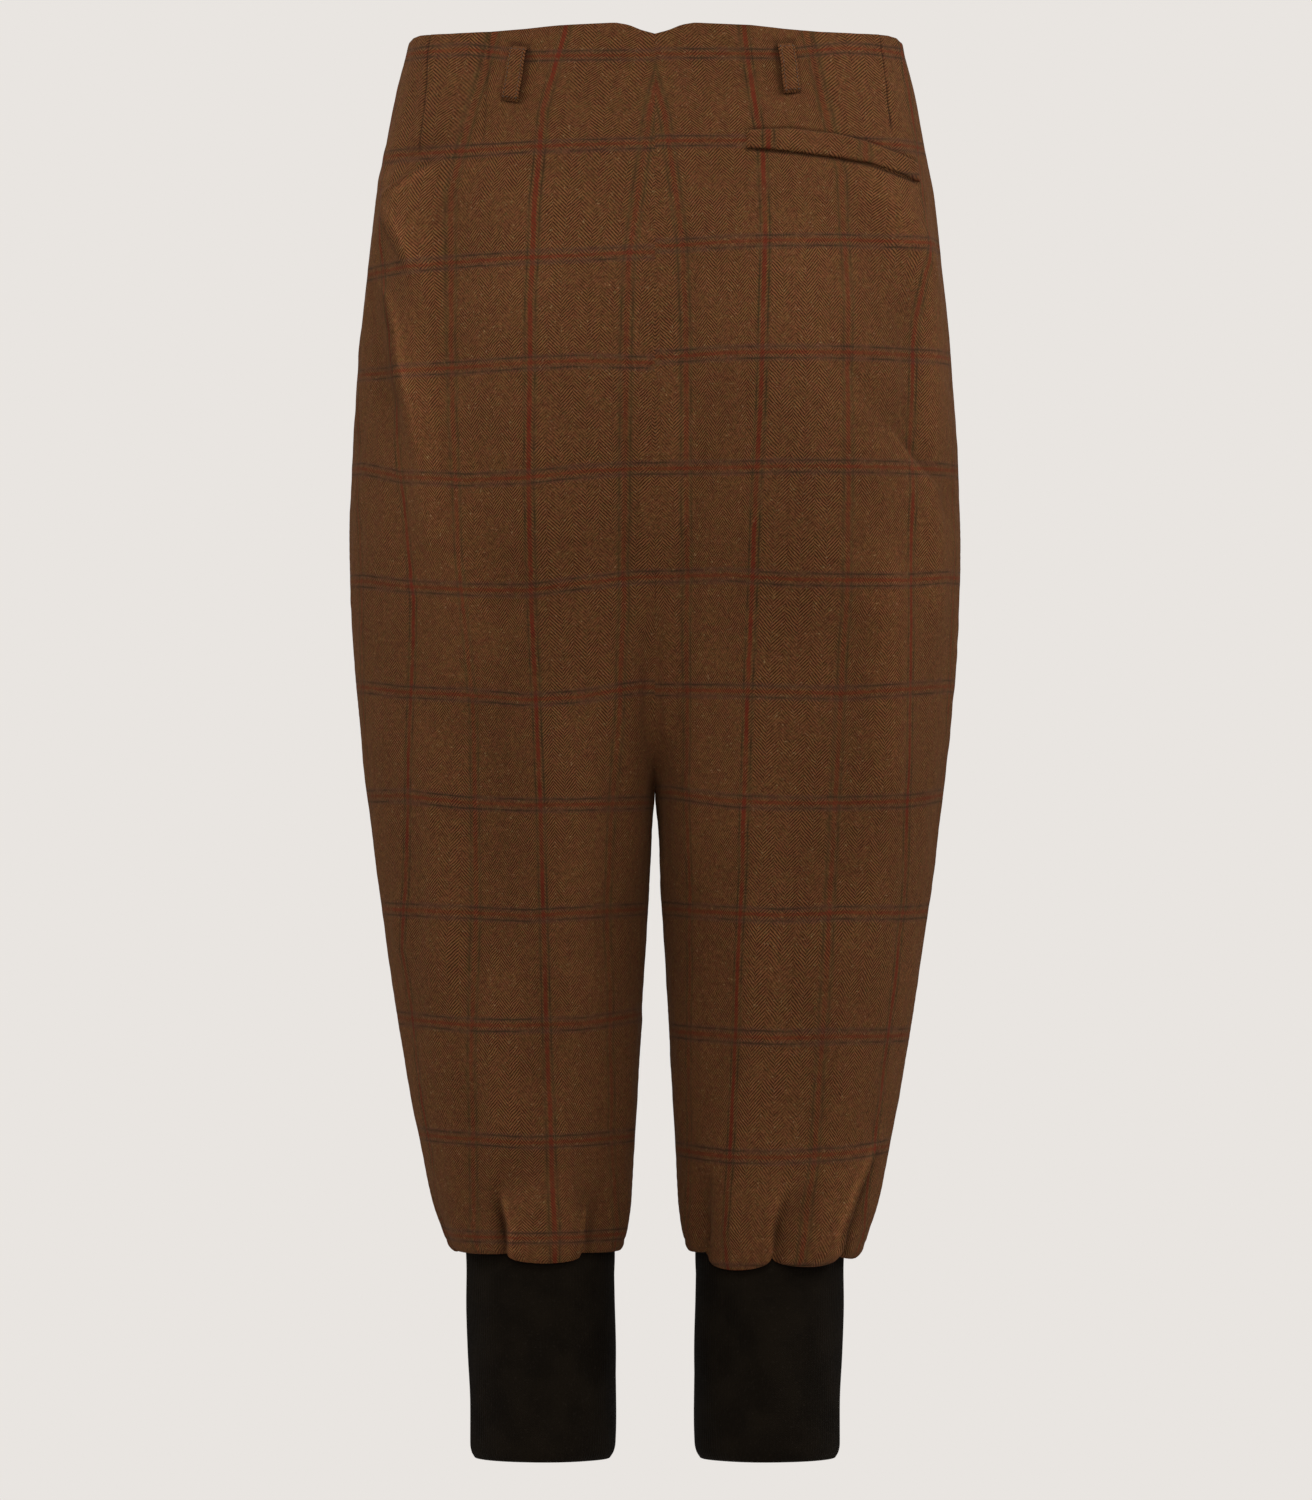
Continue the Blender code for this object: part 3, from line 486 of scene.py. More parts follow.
def waistShift(x, z, back):
    reach = np.maximum(0.0, 1.0 + z / waistEdgeReach)
    heights = np.where(back, np.interp(x, waistEdge[:, 0], waistEdge[:, 1]),
                       np.interp(x, waistEdge[:, 0], waistEdge[:, 2]))
    return heights * reach * reach


# low uneven waves of the cloth, from a fixed seed
def ripple(u, v, waveLength, seed):
    rng = np.random.default_rng(seed)
    total = np.zeros_like(u)
    for _ in range(7):
        turn = rng.uniform(0.0, math.pi)
        length = waveLength * rng.uniform(0.7, 1.5)
        phase = rng.uniform(0.0, math.tau)
        total += np.sin(math.tau * (u * math.cos(turn) + v * math.sin(turn)) / length + phase)
    return total / 7 ** 0.5


# dips and ridges that the sewing draws into a panel, and how dark each point of a seam lies
def sewingRelief(panel, x, z, fromSide, fromInner):
    edge = np.minimum(fromSide, fromInner)
    pucker = np.sin(math.tau * z / 0.0093 + 9.0 * np.sin(z * 61.0)) * np.exp(-edge / 0.006)
    depth = np.where(fromSide < fromInner, seamShape["sideDepth"], seamShape["centreDepth"])
    height = -depth * bell(edge, seamShape["width"])
    height += -seamShape["shoulder"] * bell(edge, seamShape["shoulderWidth"]) + seamShape["pucker"] * pucker
    shade = np.where(fromSide < fromInner, seamShape["sideShade"], seamShape["centreShade"])
    shade = shade * bell(edge, seamShape["width"] * 0.8)
    for name, x0, z0, x1, z1, strength in darts:
        if name == panel:
            across, past, t = fromLine(x, z, x0, z0, x1, z1)
            fade = strength * smooth((1.0 - t) / 0.35) * (past < 0.004)
            groove = bell(across, dartShape["width"]) * fade
            lip = np.where(across > 0, bell(across - 0.0016, 0.0012), 0.0) * fade
            height += -dartShape["depth"] * groove + dartShape["ridge"] * lip
            line = strength * bell(across, dartShape["width"] * 0.75) * smooth((1.0 - t) / 0.15)
            shade = np.maximum(shade, line * (past < 0.002))
    # each belt loop presses the cloth in and shades it
    for _, name, x0, z0, x1, z1 in loops["places"]:
        if name == panel:
            across, past, _ = fromLine(x, z, x0, z0, x1, z1)
            away = np.hypot(np.maximum(np.abs(across) - loops["width"] / 2, 0.0), past)
            line = bell(np.maximum(away - 0.0003, 0.0), 0.0009)
            height += -0.0005 * line
            shade = np.maximum(shade, 0.45 * line)
    if panel == "back_right":
        edges = welt["edges"]
        inside = smooth((x - edges[0, 0] + 0.002) / 0.004) * smooth((edges[-1, 0] + 0.002 - x) / 0.004)
        top = z - np.interp(x, edges[:, 0], edges[:, 1])
        low = z - np.interp(x, edges[:, 0], edges[:, 2])
        slot = bell(low + 0.0008, welt["slotWidth"]) * inside
        height += -welt["slot"] * slot - 0.0008 * bell(top - 0.0006, 0.0009) * inside
        shade = np.maximum(shade, np.maximum(slot, 0.7 * bell(top - 0.0004, 0.0007) * inside))
    return height, shade


# points of a panel's outer face at angles round its leg; rolled rows go from the leg's section to the cuff's
def panelPoints(panel, angle, z, rollZ, share, out=0.0):
    half = panel.split("_")[1]
    section = between(legSection(z), cuffSection(rollZ), share)
    fade = smooth(1.0 - (z - leg["hem"]) / hem["reach"])
    arch, drop = gatherAt(half, angle)
    swell = hem["swell"] * (arch ** hem["roundness"] * fade - hem["sink"]) * fade * (1.0 - share)
    rollBottom = leg["roll"][:, 1].min()
    lower = drop * arch ** hem["dropRoundness"] * (leg["hem"] - rollZ) / (leg["hem"] - rollBottom)
    lower = np.where(rollZ < leg["hem"], lower, 0.0)
    x, y, nx, ny = onSection(section, angle)
    fill, surface = valleyFill(section, np.maximum(x, 0.0), z)
    depth = np.where(np.sin(angle) >= 0, section["back"], -section["front"])
    fill = fill * smooth(((y - section["y"]) / (depth * np.maximum(surface, 0.001)) - 0.4) / 0.5)
    y = y + depth * fill * (1.0 - share)
    push = out + swell + 0.0005 * share
    push = push + foldRelief(panel, x, z, angle)[0] * smooth(np.abs(ny) / 0.55) * (1.0 - smooth(share / 0.5))
    shift = waistShift(x, z, angle >= 0) - lower
    # what lies on the centre plane stays there
    x = np.where(x > leg["edgeGap"] + 0.00001, np.maximum(x + nx * push, leg["edgeGap"]), leg["edgeGap"])
    return np.stack((sides[half] * x, y + ny * push, rollZ + shift), axis=-1)


# one row of a panel: angles, distances from the side seam and the inner edge, and places of the upright bars
def panelRow(panel, z):
    back = panel.startswith("back")
    sign = 1.0 if back else -1.0
    one = np.full(1, z)
    section = {key: value[0] for key, value in legSection(one).items()}
    fine = np.linspace(0.0, math.pi, 900)
    x, y, _, _ = onSection(section, sign * fine)
    x = np.maximum(x, leg["edgeGap"])
    run = np.concatenate(([0.0], np.cumsum(np.hypot(np.diff(x), np.diff(y)))))
    cut = abs(angleAt(section, leg["edgeGap"], back))
    end = math.pi
    if z >= leg["seatCurve"]:
        end = cut
    elif z > leg["crotch"]:
        t = (leg["seatCurve"] - z) / (leg["seatCurve"] - leg["crotch"])
        end = math.pi - (math.pi - cut) * math.sqrt(1.0 - t * t)
    cutRun, endRun = np.interp((cut, end), fine, run)
    if z <= leg["crotch"]:
        endRun -= leg["edgeGap"]
    part = float(smooth((leg["seatCurve"] - z) / (leg["seatCurve"] - leg["legsPart"])))
    even = cutRun + (run[-1] - cutRun) * part
    narrow = np.array(leg["edgeSteps"]) / endRun
    shares = np.concatenate((1.0 - narrow, np.linspace(1.0 - narrow[-1], narrow[-1], leg["columns"])[1:-1],
                             narrow[::-1]))
    shares[-1] = leg["edgeGap"] / endRun
    wanted = even * shares + (endRun - even) * shares ** 16
    # one column keeps to the line where the two halves meet
    nearest = int(np.argmin(np.abs(wanted - cutRun)))
    wanted[nearest] = cutRun
    bars = []
    order = np.argsort(fine)
    for bar in uprightBars[panel]:
        barZ, barX = np.array(bar)[::-1].T
        at = float(np.interp(z, barZ, barX))
        overCentre = min(at - leg["edgeGap"], 0.0)
        angle = abs(angleAt(section, max(at, leg["edgeGap"]), back))
        bars.append(float(np.interp(angle, fine[order], run[order])) - overCentre)
    return sign * np.interp(wanted, run, fine), wanted, endRun - wanted, bars, nearest


def atGrid(table, i, j):
    i0 = np.clip(np.floor(i).astype(int), 0, table.shape[0] - 2)
    j0 = np.clip(np.floor(j).astype(int), 0, table.shape[1] - 2)
    fi, fj = i - i0, j - j0
    top = table[i0, j0] * (1 - fj) + table[i0, j0 + 1] * fj
    low = table[i0 + 1, j0] * (1 - fj) + table[i0 + 1, j0 + 1] * fj
    return top * (1 - fi) + low * fi


def alongRows(values, i):
    i0 = np.clip(np.floor(i).astype(int), 0, len(values) - 2)
    return values[i0] * (1 - (i - i0)) + values[i0 + 1] * (i - i0)


def checkPlace(panel, x, z, fromSide, bars):
    # bars are counted outwards from the centre seam, and downwards from the waist
    across = 3.0 + (bars[:, 3] - fromSide) / barWidth
    for k in (2, 1, 0):
        inner = fromSide > bars[:, k + 1]
        step = k + 1 - (fromSide - bars[:, k + 1]) / (bars[:, k] - bars[:, k + 1])
        across = np.where(inner, step, across)
    across = np.where(fromSide > bars[:, 0], (bars[:, 0] - fromSide) / barWidth, across)
    rows = levelBars[panel.split("_")[1]]
    if panel.startswith("back"):
        heights = np.stack([np.interp(x, levelBarsAt, row) for row in rows])
    else:
        # in front the bars of the two halves meet at the same height
        met = (levelBars["left"][:, -1] + levelBars["right"][:, -1]) / 2
        heights = met[:, None] + (rows[:, -1] - met)[:, None] * smooth(x / 0.15)
    down = 1.0 + (heights[0] - z) / (heights[0] - heights[1])
    for k in range(1, len(rows) - 1):
        step = 1.0 + k + (heights[k] - z) / (heights[k] - heights[k + 1])
        down = np.where(z < heights[k], step, down)
    return np.stack((across * barWidth, -down * barHeight), axis=-1)


def gridFaces(rows, columns, flip, closed=False):
    stride = columns if closed else columns + 1
    i, j = np.meshgrid(np.arange(rows), np.arange(columns), indexing="ij")
    k = (j + 1) % stride
    quads = np.stack((i * stride + j, i * stride + k, (i + 1) * stride + k, (i + 1) * stride + j), axis=-1)
    quads = quads.reshape(-1, 4)
    return quads[:, ::-1] if flip else quads


def newPiece(name, points, faces, uv=None, material=None):
    mesh = bpy.data.meshes.new(name)
    mesh.from_pydata([tuple(p) for p in points], [], [tuple(int(k) for k in f) for f in faces])
    mesh.validate()
    if uv is not None:
        layer = mesh.uv_layers.new(name="cloth")
        corner = np.empty(len(mesh.loops), dtype=int)
        mesh.loops.foreach_get("vertex_index", corner)
        layer.data.foreach_set("uv", np.asarray(uv)[corner].astype(np.float32).ravel())
    mesh.shade_smooth()
    piece = bpy.data.objects.new(name, mesh)
    scene.collection.objects.link(piece)
    if material:
        mesh.materials.append(material)
    return piece


# the inner face and the rims of a wall of cloth; the points along the centre seam stay in its plane
def wallOf(points, faces, thickness, side, onCentre):
    mesh = bpy.data.meshes.new("wall")
    mesh.from_pydata([tuple(p) for p in points], [], faces)
    normals = np.empty(len(points) * 3)
    mesh.vertex_normals.foreach_get("vector", normals)
    bpy.data.meshes.remove(mesh)
    normals = normals.reshape(-1, 3)
    normals[onCentre & (np.abs(normals[:, 0]) < 0.8), 0] = 0.0
    normals /= np.linalg.norm(normals, axis=1)[:, None]
    inner = points - normals * thickness
    inner[:, 0] = side * np.maximum(side * inner[:, 0], 0.0)
    count = len(points)
    used = set()
    for face in faces:
        used.update(zip(face, face[1:] + face[:1]))
    rims = sorted((b, a, a + count, b + count) for a, b in used if (b, a) not in used)
    back = [tuple(k + count for k in face[::-1]) for face in faces]
    free = {frozenset(pair) for b, a, c, d in rims if not (onCentre[a] and onCentre[b]) for pair in ((a, b), (c, d))}
    return np.concatenate((points, inner)), list(faces) + back + rims, free


def addWall(piece, thickness, outward=False):
    wall = piece.modifiers.new("wall", "SOLIDIFY")
    wall.thickness = thickness
    wall.offset = 1.0 if outward else -1.0
    return wall


# the modifiers' result as a plain mesh on a new object
def frozen(piece):
    depsgraph = bpy.context.evaluated_depsgraph_get()
    mesh = bpy.data.meshes.new_from_object(piece.evaluated_get(depsgraph))
    name = piece.name
    bpy.data.objects.remove(piece, do_unlink=True)
    mesh.name = name
    made = bpy.data.objects.new(name, mesh)
    scene.collection.objects.link(made)
    return made


def declare(piece, node=None):
    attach(piece, "root")
    if node:
        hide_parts(node)


# nodes of a material: a Math node whose inputs are sockets or numbers
def calc(tree, operation, *values):
    node = tree.nodes.new("ShaderNodeMath")
    node.operation = operation
    for socket, value in zip(node.inputs, values):
        if isinstance(value, (int, float)):
            socket.default_value = value
        else:
            tree.links.new(value, socket)
    return node.outputs[0]


def ramp(tree, value, fromLow, fromHigh, toLow=0.0, toHigh=1.0):
    node = tree.nodes.new("ShaderNodeMapRange")
    node.interpolation_type = "SMOOTHSTEP"
    tree.links.new(value, node.inputs["Value"])
    for key, number in (("From Min", fromLow), ("From Max", fromHigh), ("To Min", toLow), ("To Max", toHigh)):
        node.inputs[key].default_value = number
    return node.outputs["Result"]


def mixColour(tree, share, first, second, blend="MIX"):
    node = tree.nodes.new("ShaderNodeMix")
    node.data_type = "RGBA"
    node.blend_type = blend
    for socket, value in ((node.inputs[0], share), (node.inputs[6], first), (node.inputs[7], second)):
        if isinstance(value, tuple):
            socket.default_value = (*value, 1.0)
        elif isinstance(value, (int, float)):
            socket.default_value = value
        else:
            tree.links.new(value, socket)
    return node.outputs[2]


def noise(tree, vector, scale, detail=2.0, roughness=0.5):
    node = tree.nodes.new("ShaderNodeTexNoise")
    node.inputs["Scale"].default_value = scale
    node.inputs["Detail"].default_value = detail
    node.inputs["Roughness"].default_value = roughness
    tree.links.new(vector, node.inputs["Vector"])
    return node.outputs["Fac"]


def shaderOf(material):
    material.use_nodes = True
    return material.node_tree, material.node_tree.nodes["Principled BSDF"]


tweed = {
    "dark": (0.0370, 0.0135, 0.0046),
    "light": (0.1760, 0.0700, 0.0262),
    "red": (0.1250, 0.0170, 0.0080),
    "green": (0.0160, 0.0150, 0.0060),
    "tint": (0.0700, 0.0420, 0.0150),
    "mauve": (0.0760, 0.0360, 0.0260),
    "olive": (0.0900, 0.0560, 0.0180),
    "rust": (0.1050, 0.0330, 0.0130),
    "pale": (0.3000, 0.1900, 0.0900),
    "column": 0.0080,         # width of one herringbone column
    "twill": 0.0021,          # height of one twill line
    "redHalf": 0.0015,
    "greenAt": 0.0034,
    "greenHalf": 0.0005,
}


def tweedMaterial(name, withCheck=True, withSeams=False):
    material = bpy.data.materials.new(name)
    tree, shader = shaderOf(material)
    uv = tree.nodes.new("ShaderNodeUVMap")
    uv.uv_map = "cloth"
    where = tree.nodes.new("ShaderNodeTexCoord").outputs["Object"]
    split = tree.nodes.new("ShaderNodeSeparateXYZ")
    tree.links.new(uv.outputs["UV"], split.inputs[0])
    yarnWander = calc(tree, "MULTIPLY", calc(tree, "SUBTRACT", noise(tree, uv.outputs["UV"], 160.0), 0.5), 0.0011)
    u = calc(tree, "ADD", split.outputs["X"], yarnWander)
    v = calc(tree, "ADD", split.outputs["Y"], yarnWander)

    # herringbone: the twill turns at each column and starts half a line later
    column = calc(tree, "FLOOR", calc(tree, "DIVIDE", u, tweed["column"]))
    turned = calc(tree, "FLOORED_MODULO", column, 2.0)
    slope = calc(tree, "PINGPONG", u, tweed["column"])
    phase = calc(tree, "ADD", calc(tree, "DIVIDE", calc(tree, "ADD", v, slope), tweed["twill"]),
                 calc(tree, "MULTIPLY", turned, 0.5))
    wave = calc(tree, "SINE", calc(tree, "MULTIPLY", phase, math.tau))
    floats = noise(tree, uv.outputs["UV"], 1100.0, 1.0)
    slubs = noise(tree, uv.outputs["UV"], 420.0, 2.0, 0.6)
    # the weave shows clearly in some patches and hardly in others
    clear = ramp(tree, noise(tree, where, 55.0, 2.0), 0.35, 0.65, 0.16, 0.50)
    twill = calc(tree, "ADD", calc(tree, "MULTIPLY", wave, clear), calc(tree, "MULTIPLY", floats, 0.35))
    twill = calc(tree, "ADD", twill, calc(tree, "MULTIPLY", slubs, 0.75))
    twill = ramp(tree, twill, 0.10, 1.00)
    colour = mixColour(tree, twill, tweed["dark"], tweed["light"])

    # heather: flecks of other wools, and a slow drift of the brown
    flecks = noise(tree, uv.outputs["UV"], 560.0, 3.0, 0.7)
    colour = mixColour(tree, ramp(tree, flecks, 0.52, 0.70, 0.0, 0.75), colour, tweed["olive"])
    rusty = noise(tree, where, 420.0, 3.0, 0.7)
    colour = mixColour(tree, ramp(tree, rusty, 0.54, 0.72, 0.0, 0.7), colour, tweed["rust"])
    pale = noise(tree, where, 640.0, 2.0, 0.6)
    colour = mixColour(tree, ramp(tree, pale, 0.62, 0.76, 0.0, 0.5), colour, tweed["pale"])
    if withCheck:
        # thin dark green lines and a red one between them, all broken by the twill
        dashes = ramp(tree, wave, -0.5, 0.5, 0.15, 1.0)
        turn = calc(tree, "FLOORED_MODULO", calc(tree, "ROUND", calc(tree, "DIVIDE", u, barWidth)), 2.0)
        duller = calc(tree, "ADD", calc(tree, "MULTIPLY", calc(tree, "ABSOLUTE", turn), 0.50), 0.50)
        for axis, size, share in ((u, barWidth, 1.0), (v, barHeight, 0.66)):
            far = calc(tree, "FLOORED_MODULO", calc(tree, "ADD", axis, size / 2), size)
            near = calc(tree, "ABSOLUTE", calc(tree, "SUBTRACT", far, size / 2))
            wearAndPaintedLight = ramp(tree, noise(tree, where, 34.0 if share == 1.0 else 41.0), 0.36, 0.62, 0.40, 0.95 * share)
            half = tweed["redHalf"] * share
            red = ramp(tree, near, half + 0.0006, half - 0.0006)
            red = calc(tree, "MULTIPLY", calc(tree, "MULTIPLY", red, wearAndPaintedLight), ramp(tree, twill, 0.1, 0.8, 0.45, 1.0))
            red = calc(tree, "MULTIPLY", red, duller if share == 1.0 else 1.0)
            beside = calc(tree, "ABSOLUTE", calc(tree, "SUBTRACT", near, tweed["greenAt"]))
            green = ramp(tree, beside, tweed["greenHalf"] + 0.0005, tweed["greenHalf"] - 0.0004)
            lost = ramp(tree, noise(tree, where, 52.0 if share == 1.0 else 47.0), 0.38, 0.60, 0.18, 0.80)
            green = calc(tree, "MULTIPLY", calc(tree, "MULTIPLY", green, lost), dashes)
            green = calc(tree, "MULTIPLY", green, calc(tree, "POWER", duller, 0.6) if share == 1.0 else 1.0)
            tint = ramp(tree, beside, 0.0024, 0.0008, 0.0, 0.30)
            colour = mixColour(tree, tint, colour, tweed["tint" if share == 1.0 else "mauve"])
            colour = mixColour(tree, green, colour, tweed["green"])
            colour = mixColour(tree, red, colour, tweed["red"])
    mottle = ramp(tree, noise(tree, where, 240.0, 2.0, 0.6), 0.28, 0.72, 0.91, 1.09)
    drift = calc(tree, "MULTIPLY", mottle, ramp(tree, noise(tree, where, 9.0, 3.0), 0.25, 0.75, 0.94, 1.06))
    # the hue wanders a little between rose and olive
    hue = ramp(tree, noise(tree, where, 170.0, 2.0, 0.6), 0.3, 0.7, -0.085, 0.065)
    tint = tree.nodes.new("ShaderNodeCombineColor")
    tree.links.new(drift, tint.inputs[0])
    tree.links.new(calc(tree, "ADD", drift, hue), tint.inputs[1])
    tree.links.new(drift, tint.inputs[2])
    colour = mixColour(tree, 1.0, colour, tint.outputs[0], "MULTIPLY")
    if withSeams:
        # painted light of the folds: painted highlight on crests, painted shade in hollows and between the hem's
        # gathers
        crest = tree.nodes.new("ShaderNodeAttribute")
        crest.attribute_name = "paintedFoldLight"
        wearAndPaintedLight = calc(tree, "ADD", crest.outputs["Fac"], 1.0)
        lighter = tree.nodes.new("ShaderNodeCombineColor")
        for socket in lighter.inputs[:3]:
            tree.links.new(wearAndPaintedLight, socket)
        colour = mixColour(tree, 1.0, colour, lighter.outputs[0], "MULTIPLY")
        shade = tree.nodes.new("ShaderNodeAttribute")
        shade.attribute_name = "seamShade"
        colour = mixColour(tree, calc(tree, "MULTIPLY", shade.outputs["Fac"], 0.75), colour, (0.012, 0.006, 0.003))
    tree.links.new(colour, shader.inputs["Base Color"])
    tree.links.new(ramp(tree, floats, 0.2, 0.8, 0.82, 0.98), shader.inputs["Roughness"])
    shader.inputs["Specular IOR Level"].default_value = 0.05
    shader.inputs["Sheen Weight"].default_value = 0.08
    shader.inputs["Sheen Roughness"].default_value = 0.4
    shader.inputs["Sheen Tint"].default_value = (0.85, 0.44, 0.22, 1.0)
    fuzz = noise(tree, where, 2600.0, 2.0, 0.7)
    height = calc(tree, "ADD", calc(tree, "MULTIPLY", twill, 0.7), calc(tree, "MULTIPLY", fuzz, 0.6))
    bump = tree.nodes.new("ShaderNodeBump")
    bump.inputs["Strength"].default_value = 0.75
    bump.inputs["Distance"].default_value = 0.00035
    tree.links.new(height, bump.inputs["Height"])
    tree.links.new(bump.outputs[0], shader.inputs["Normal"])
    return material


def knitMaterial():
    material = bpy.data.materials.new("blackKnit")
    tree, shader = shaderOf(material)
    uv = tree.nodes.new("ShaderNodeUVMap")
    uv.uv_map = "cloth"
    where = tree.nodes.new("ShaderNodeTexCoord").outputs["Object"]
    split = tree.nodes.new("ShaderNodeSeparateXYZ")
    tree.links.new(uv.outputs["UV"], split.inputs[0])
    # each wale is a column of small V stitches
    wale = 0.0023
    leaning = calc(tree, "PINGPONG", split.outputs["X"], wale / 2)
    courses = calc(tree, "DIVIDE", calc(tree, "ADD", split.outputs["Y"], leaning), 0.0014)
    stitch = calc(tree, "SINE", calc(tree, "MULTIPLY", courses, math.tau))
    hollow = ramp(tree, leaning, 0.0, wale / 2)
    cloud = noise(tree, where, 45.0, 3.0)
    colour = mixColour(tree, ramp(tree, cloud, 0.3, 0.7), (0.0052, 0.0034, 0.0018), (0.0090, 0.0062, 0.0036))
    fluff = ramp(tree, noise(tree, where, 700.0, 2.0, 0.7), 0.56, 0.76, 0.0, 0.6)
    colour = mixColour(tree, fluff, colour, (0.018, 0.0135, 0.0095))
    tree.links.new(colour, shader.inputs["Base Color"])
    tree.links.new(ramp(tree, cloud, 0.2, 0.8, 0.80, 0.95), shader.inputs["Roughness"])
    shader.inputs["Specular IOR Level"].default_value = 0.05
    shader.inputs["Sheen Weight"].default_value = 0.01
    shader.inputs["Sheen Roughness"].default_value = 0.4
    height = calc(tree, "ADD", calc(tree, "MULTIPLY", stitch, 0.3), calc(tree, "MULTIPLY", hollow, 0.7))
    bump = tree.nodes.new("ShaderNodeBump")
    bump.inputs["Strength"].default_value = 0.6
    bump.inputs["Distance"].default_value = 0.0003
    tree.links.new(height, bump.inputs["Height"])
    tree.links.new(bump.outputs[0], shader.inputs["Normal"])
    return material


def hornMaterial():
    material = bpy.data.materials.new("darkHorn")
    tree, shader = shaderOf(material)
    where = tree.nodes.new("ShaderNodeTexCoord").outputs["Object"]
    stretch = tree.nodes.new("ShaderNodeMapping")
    stretch.inputs["Scale"].default_value = (1.0, 1.0, 0.25)
    tree.links.new(where, stretch.inputs["Vector"])
    streaks = noise(tree, stretch.outputs[0], 420.0, 4.0, 0.6)
    colour = mixColour(tree, ramp(tree, streaks, 0.35, 0.68), (0.012, 0.006, 0.003), (0.085, 0.040, 0.018))
    tree.links.new(colour, shader.inputs["Base Color"])
    tree.links.new(ramp(tree, streaks, 0.3, 0.7, 0.24, 0.42), shader.inputs["Roughness"])
    shader.inputs["Coat Weight"].default_value = 0.25
    shader.inputs["Coat Roughness"].default_value = 0.2
    return material


def threadMaterial(name, colour):
    material = bpy.data.materials.new(name)
    tree, shader = shaderOf(material)
    where = tree.nodes.new("ShaderNodeTexCoord").outputs["Object"]
    twist = noise(tree, where, 3000.0, 2.0)
    darker = tuple(part * 0.6 for part in colour)
    tree.links.new(mixColour(tree, ramp(tree, twist, 0.3, 0.7), darker, colour), shader.inputs["Base Color"])
    shader.inputs["Roughness"].default_value = 0.7
    shader.inputs["Sheen Weight"].default_value = 0.1
    return material


panelTweed = tweedMaterial("tweedPanel", withSeams=True)
trimTweed = tweedMaterial("tweedTrim")
blackKnit = knitMaterial()
darkHorn = hornMaterial()
brownThread = threadMaterial("brownThread", (0.075, 0.038, 0.018))
print("materials made")


def panelRows():
    top = -np.array(leg["topSteps"])
    count = round((top[-1] - leg["hemRowsFrom"]) / leg["rowStep"])
    middle = np.linspace(top[-1], leg["hemRowsFrom"], count + 1)[1:]
    count = round((leg["hemRowsFrom"] - leg["hem"]) / leg["hemRowStep"])
    low = np.linspace(leg["hemRowsFrom"], leg["hem"], count + 1)[1:]
    z = np.concatenate((top, middle, low))
    steps = np.linspace(0.0, 5.0, leg["rollRows"] + 1)[1:]
    legZ = np.concatenate((z, np.full(len(steps), leg["hem"])))
    rollZ = np.concatenate((z, curveValue(steps, leg["roll"], 1)))
    share = np.concatenate((np.zeros(len(z)), np.clip(curveValue(steps, leg["roll"], 2), 0.0, 1.0)))
    return legZ, rollZ, share


# faces of a net of rows and columns, cut along a line that is given by its column in each row
def netFaces(rowCount, columnCount, flip, line):
    made = []
    for i in range(rowCount - 1):
        top, low = i * columnCount, (i + 1) * columnCount
        for j in range(columnCount - 1):
            if min(line[i], line[i + 1]) <= j < max(line[i], line[i + 1]):
                made.append((top + int(line[i]), low + j + 1, low + j))
                made.append((low + int(line[i + 1]), top + j, top + j + 1))
            else:
                made.append((top + j, top + j + 1, low + j + 1, low + j))
    return [face[::-1] for face in made] if flip else made


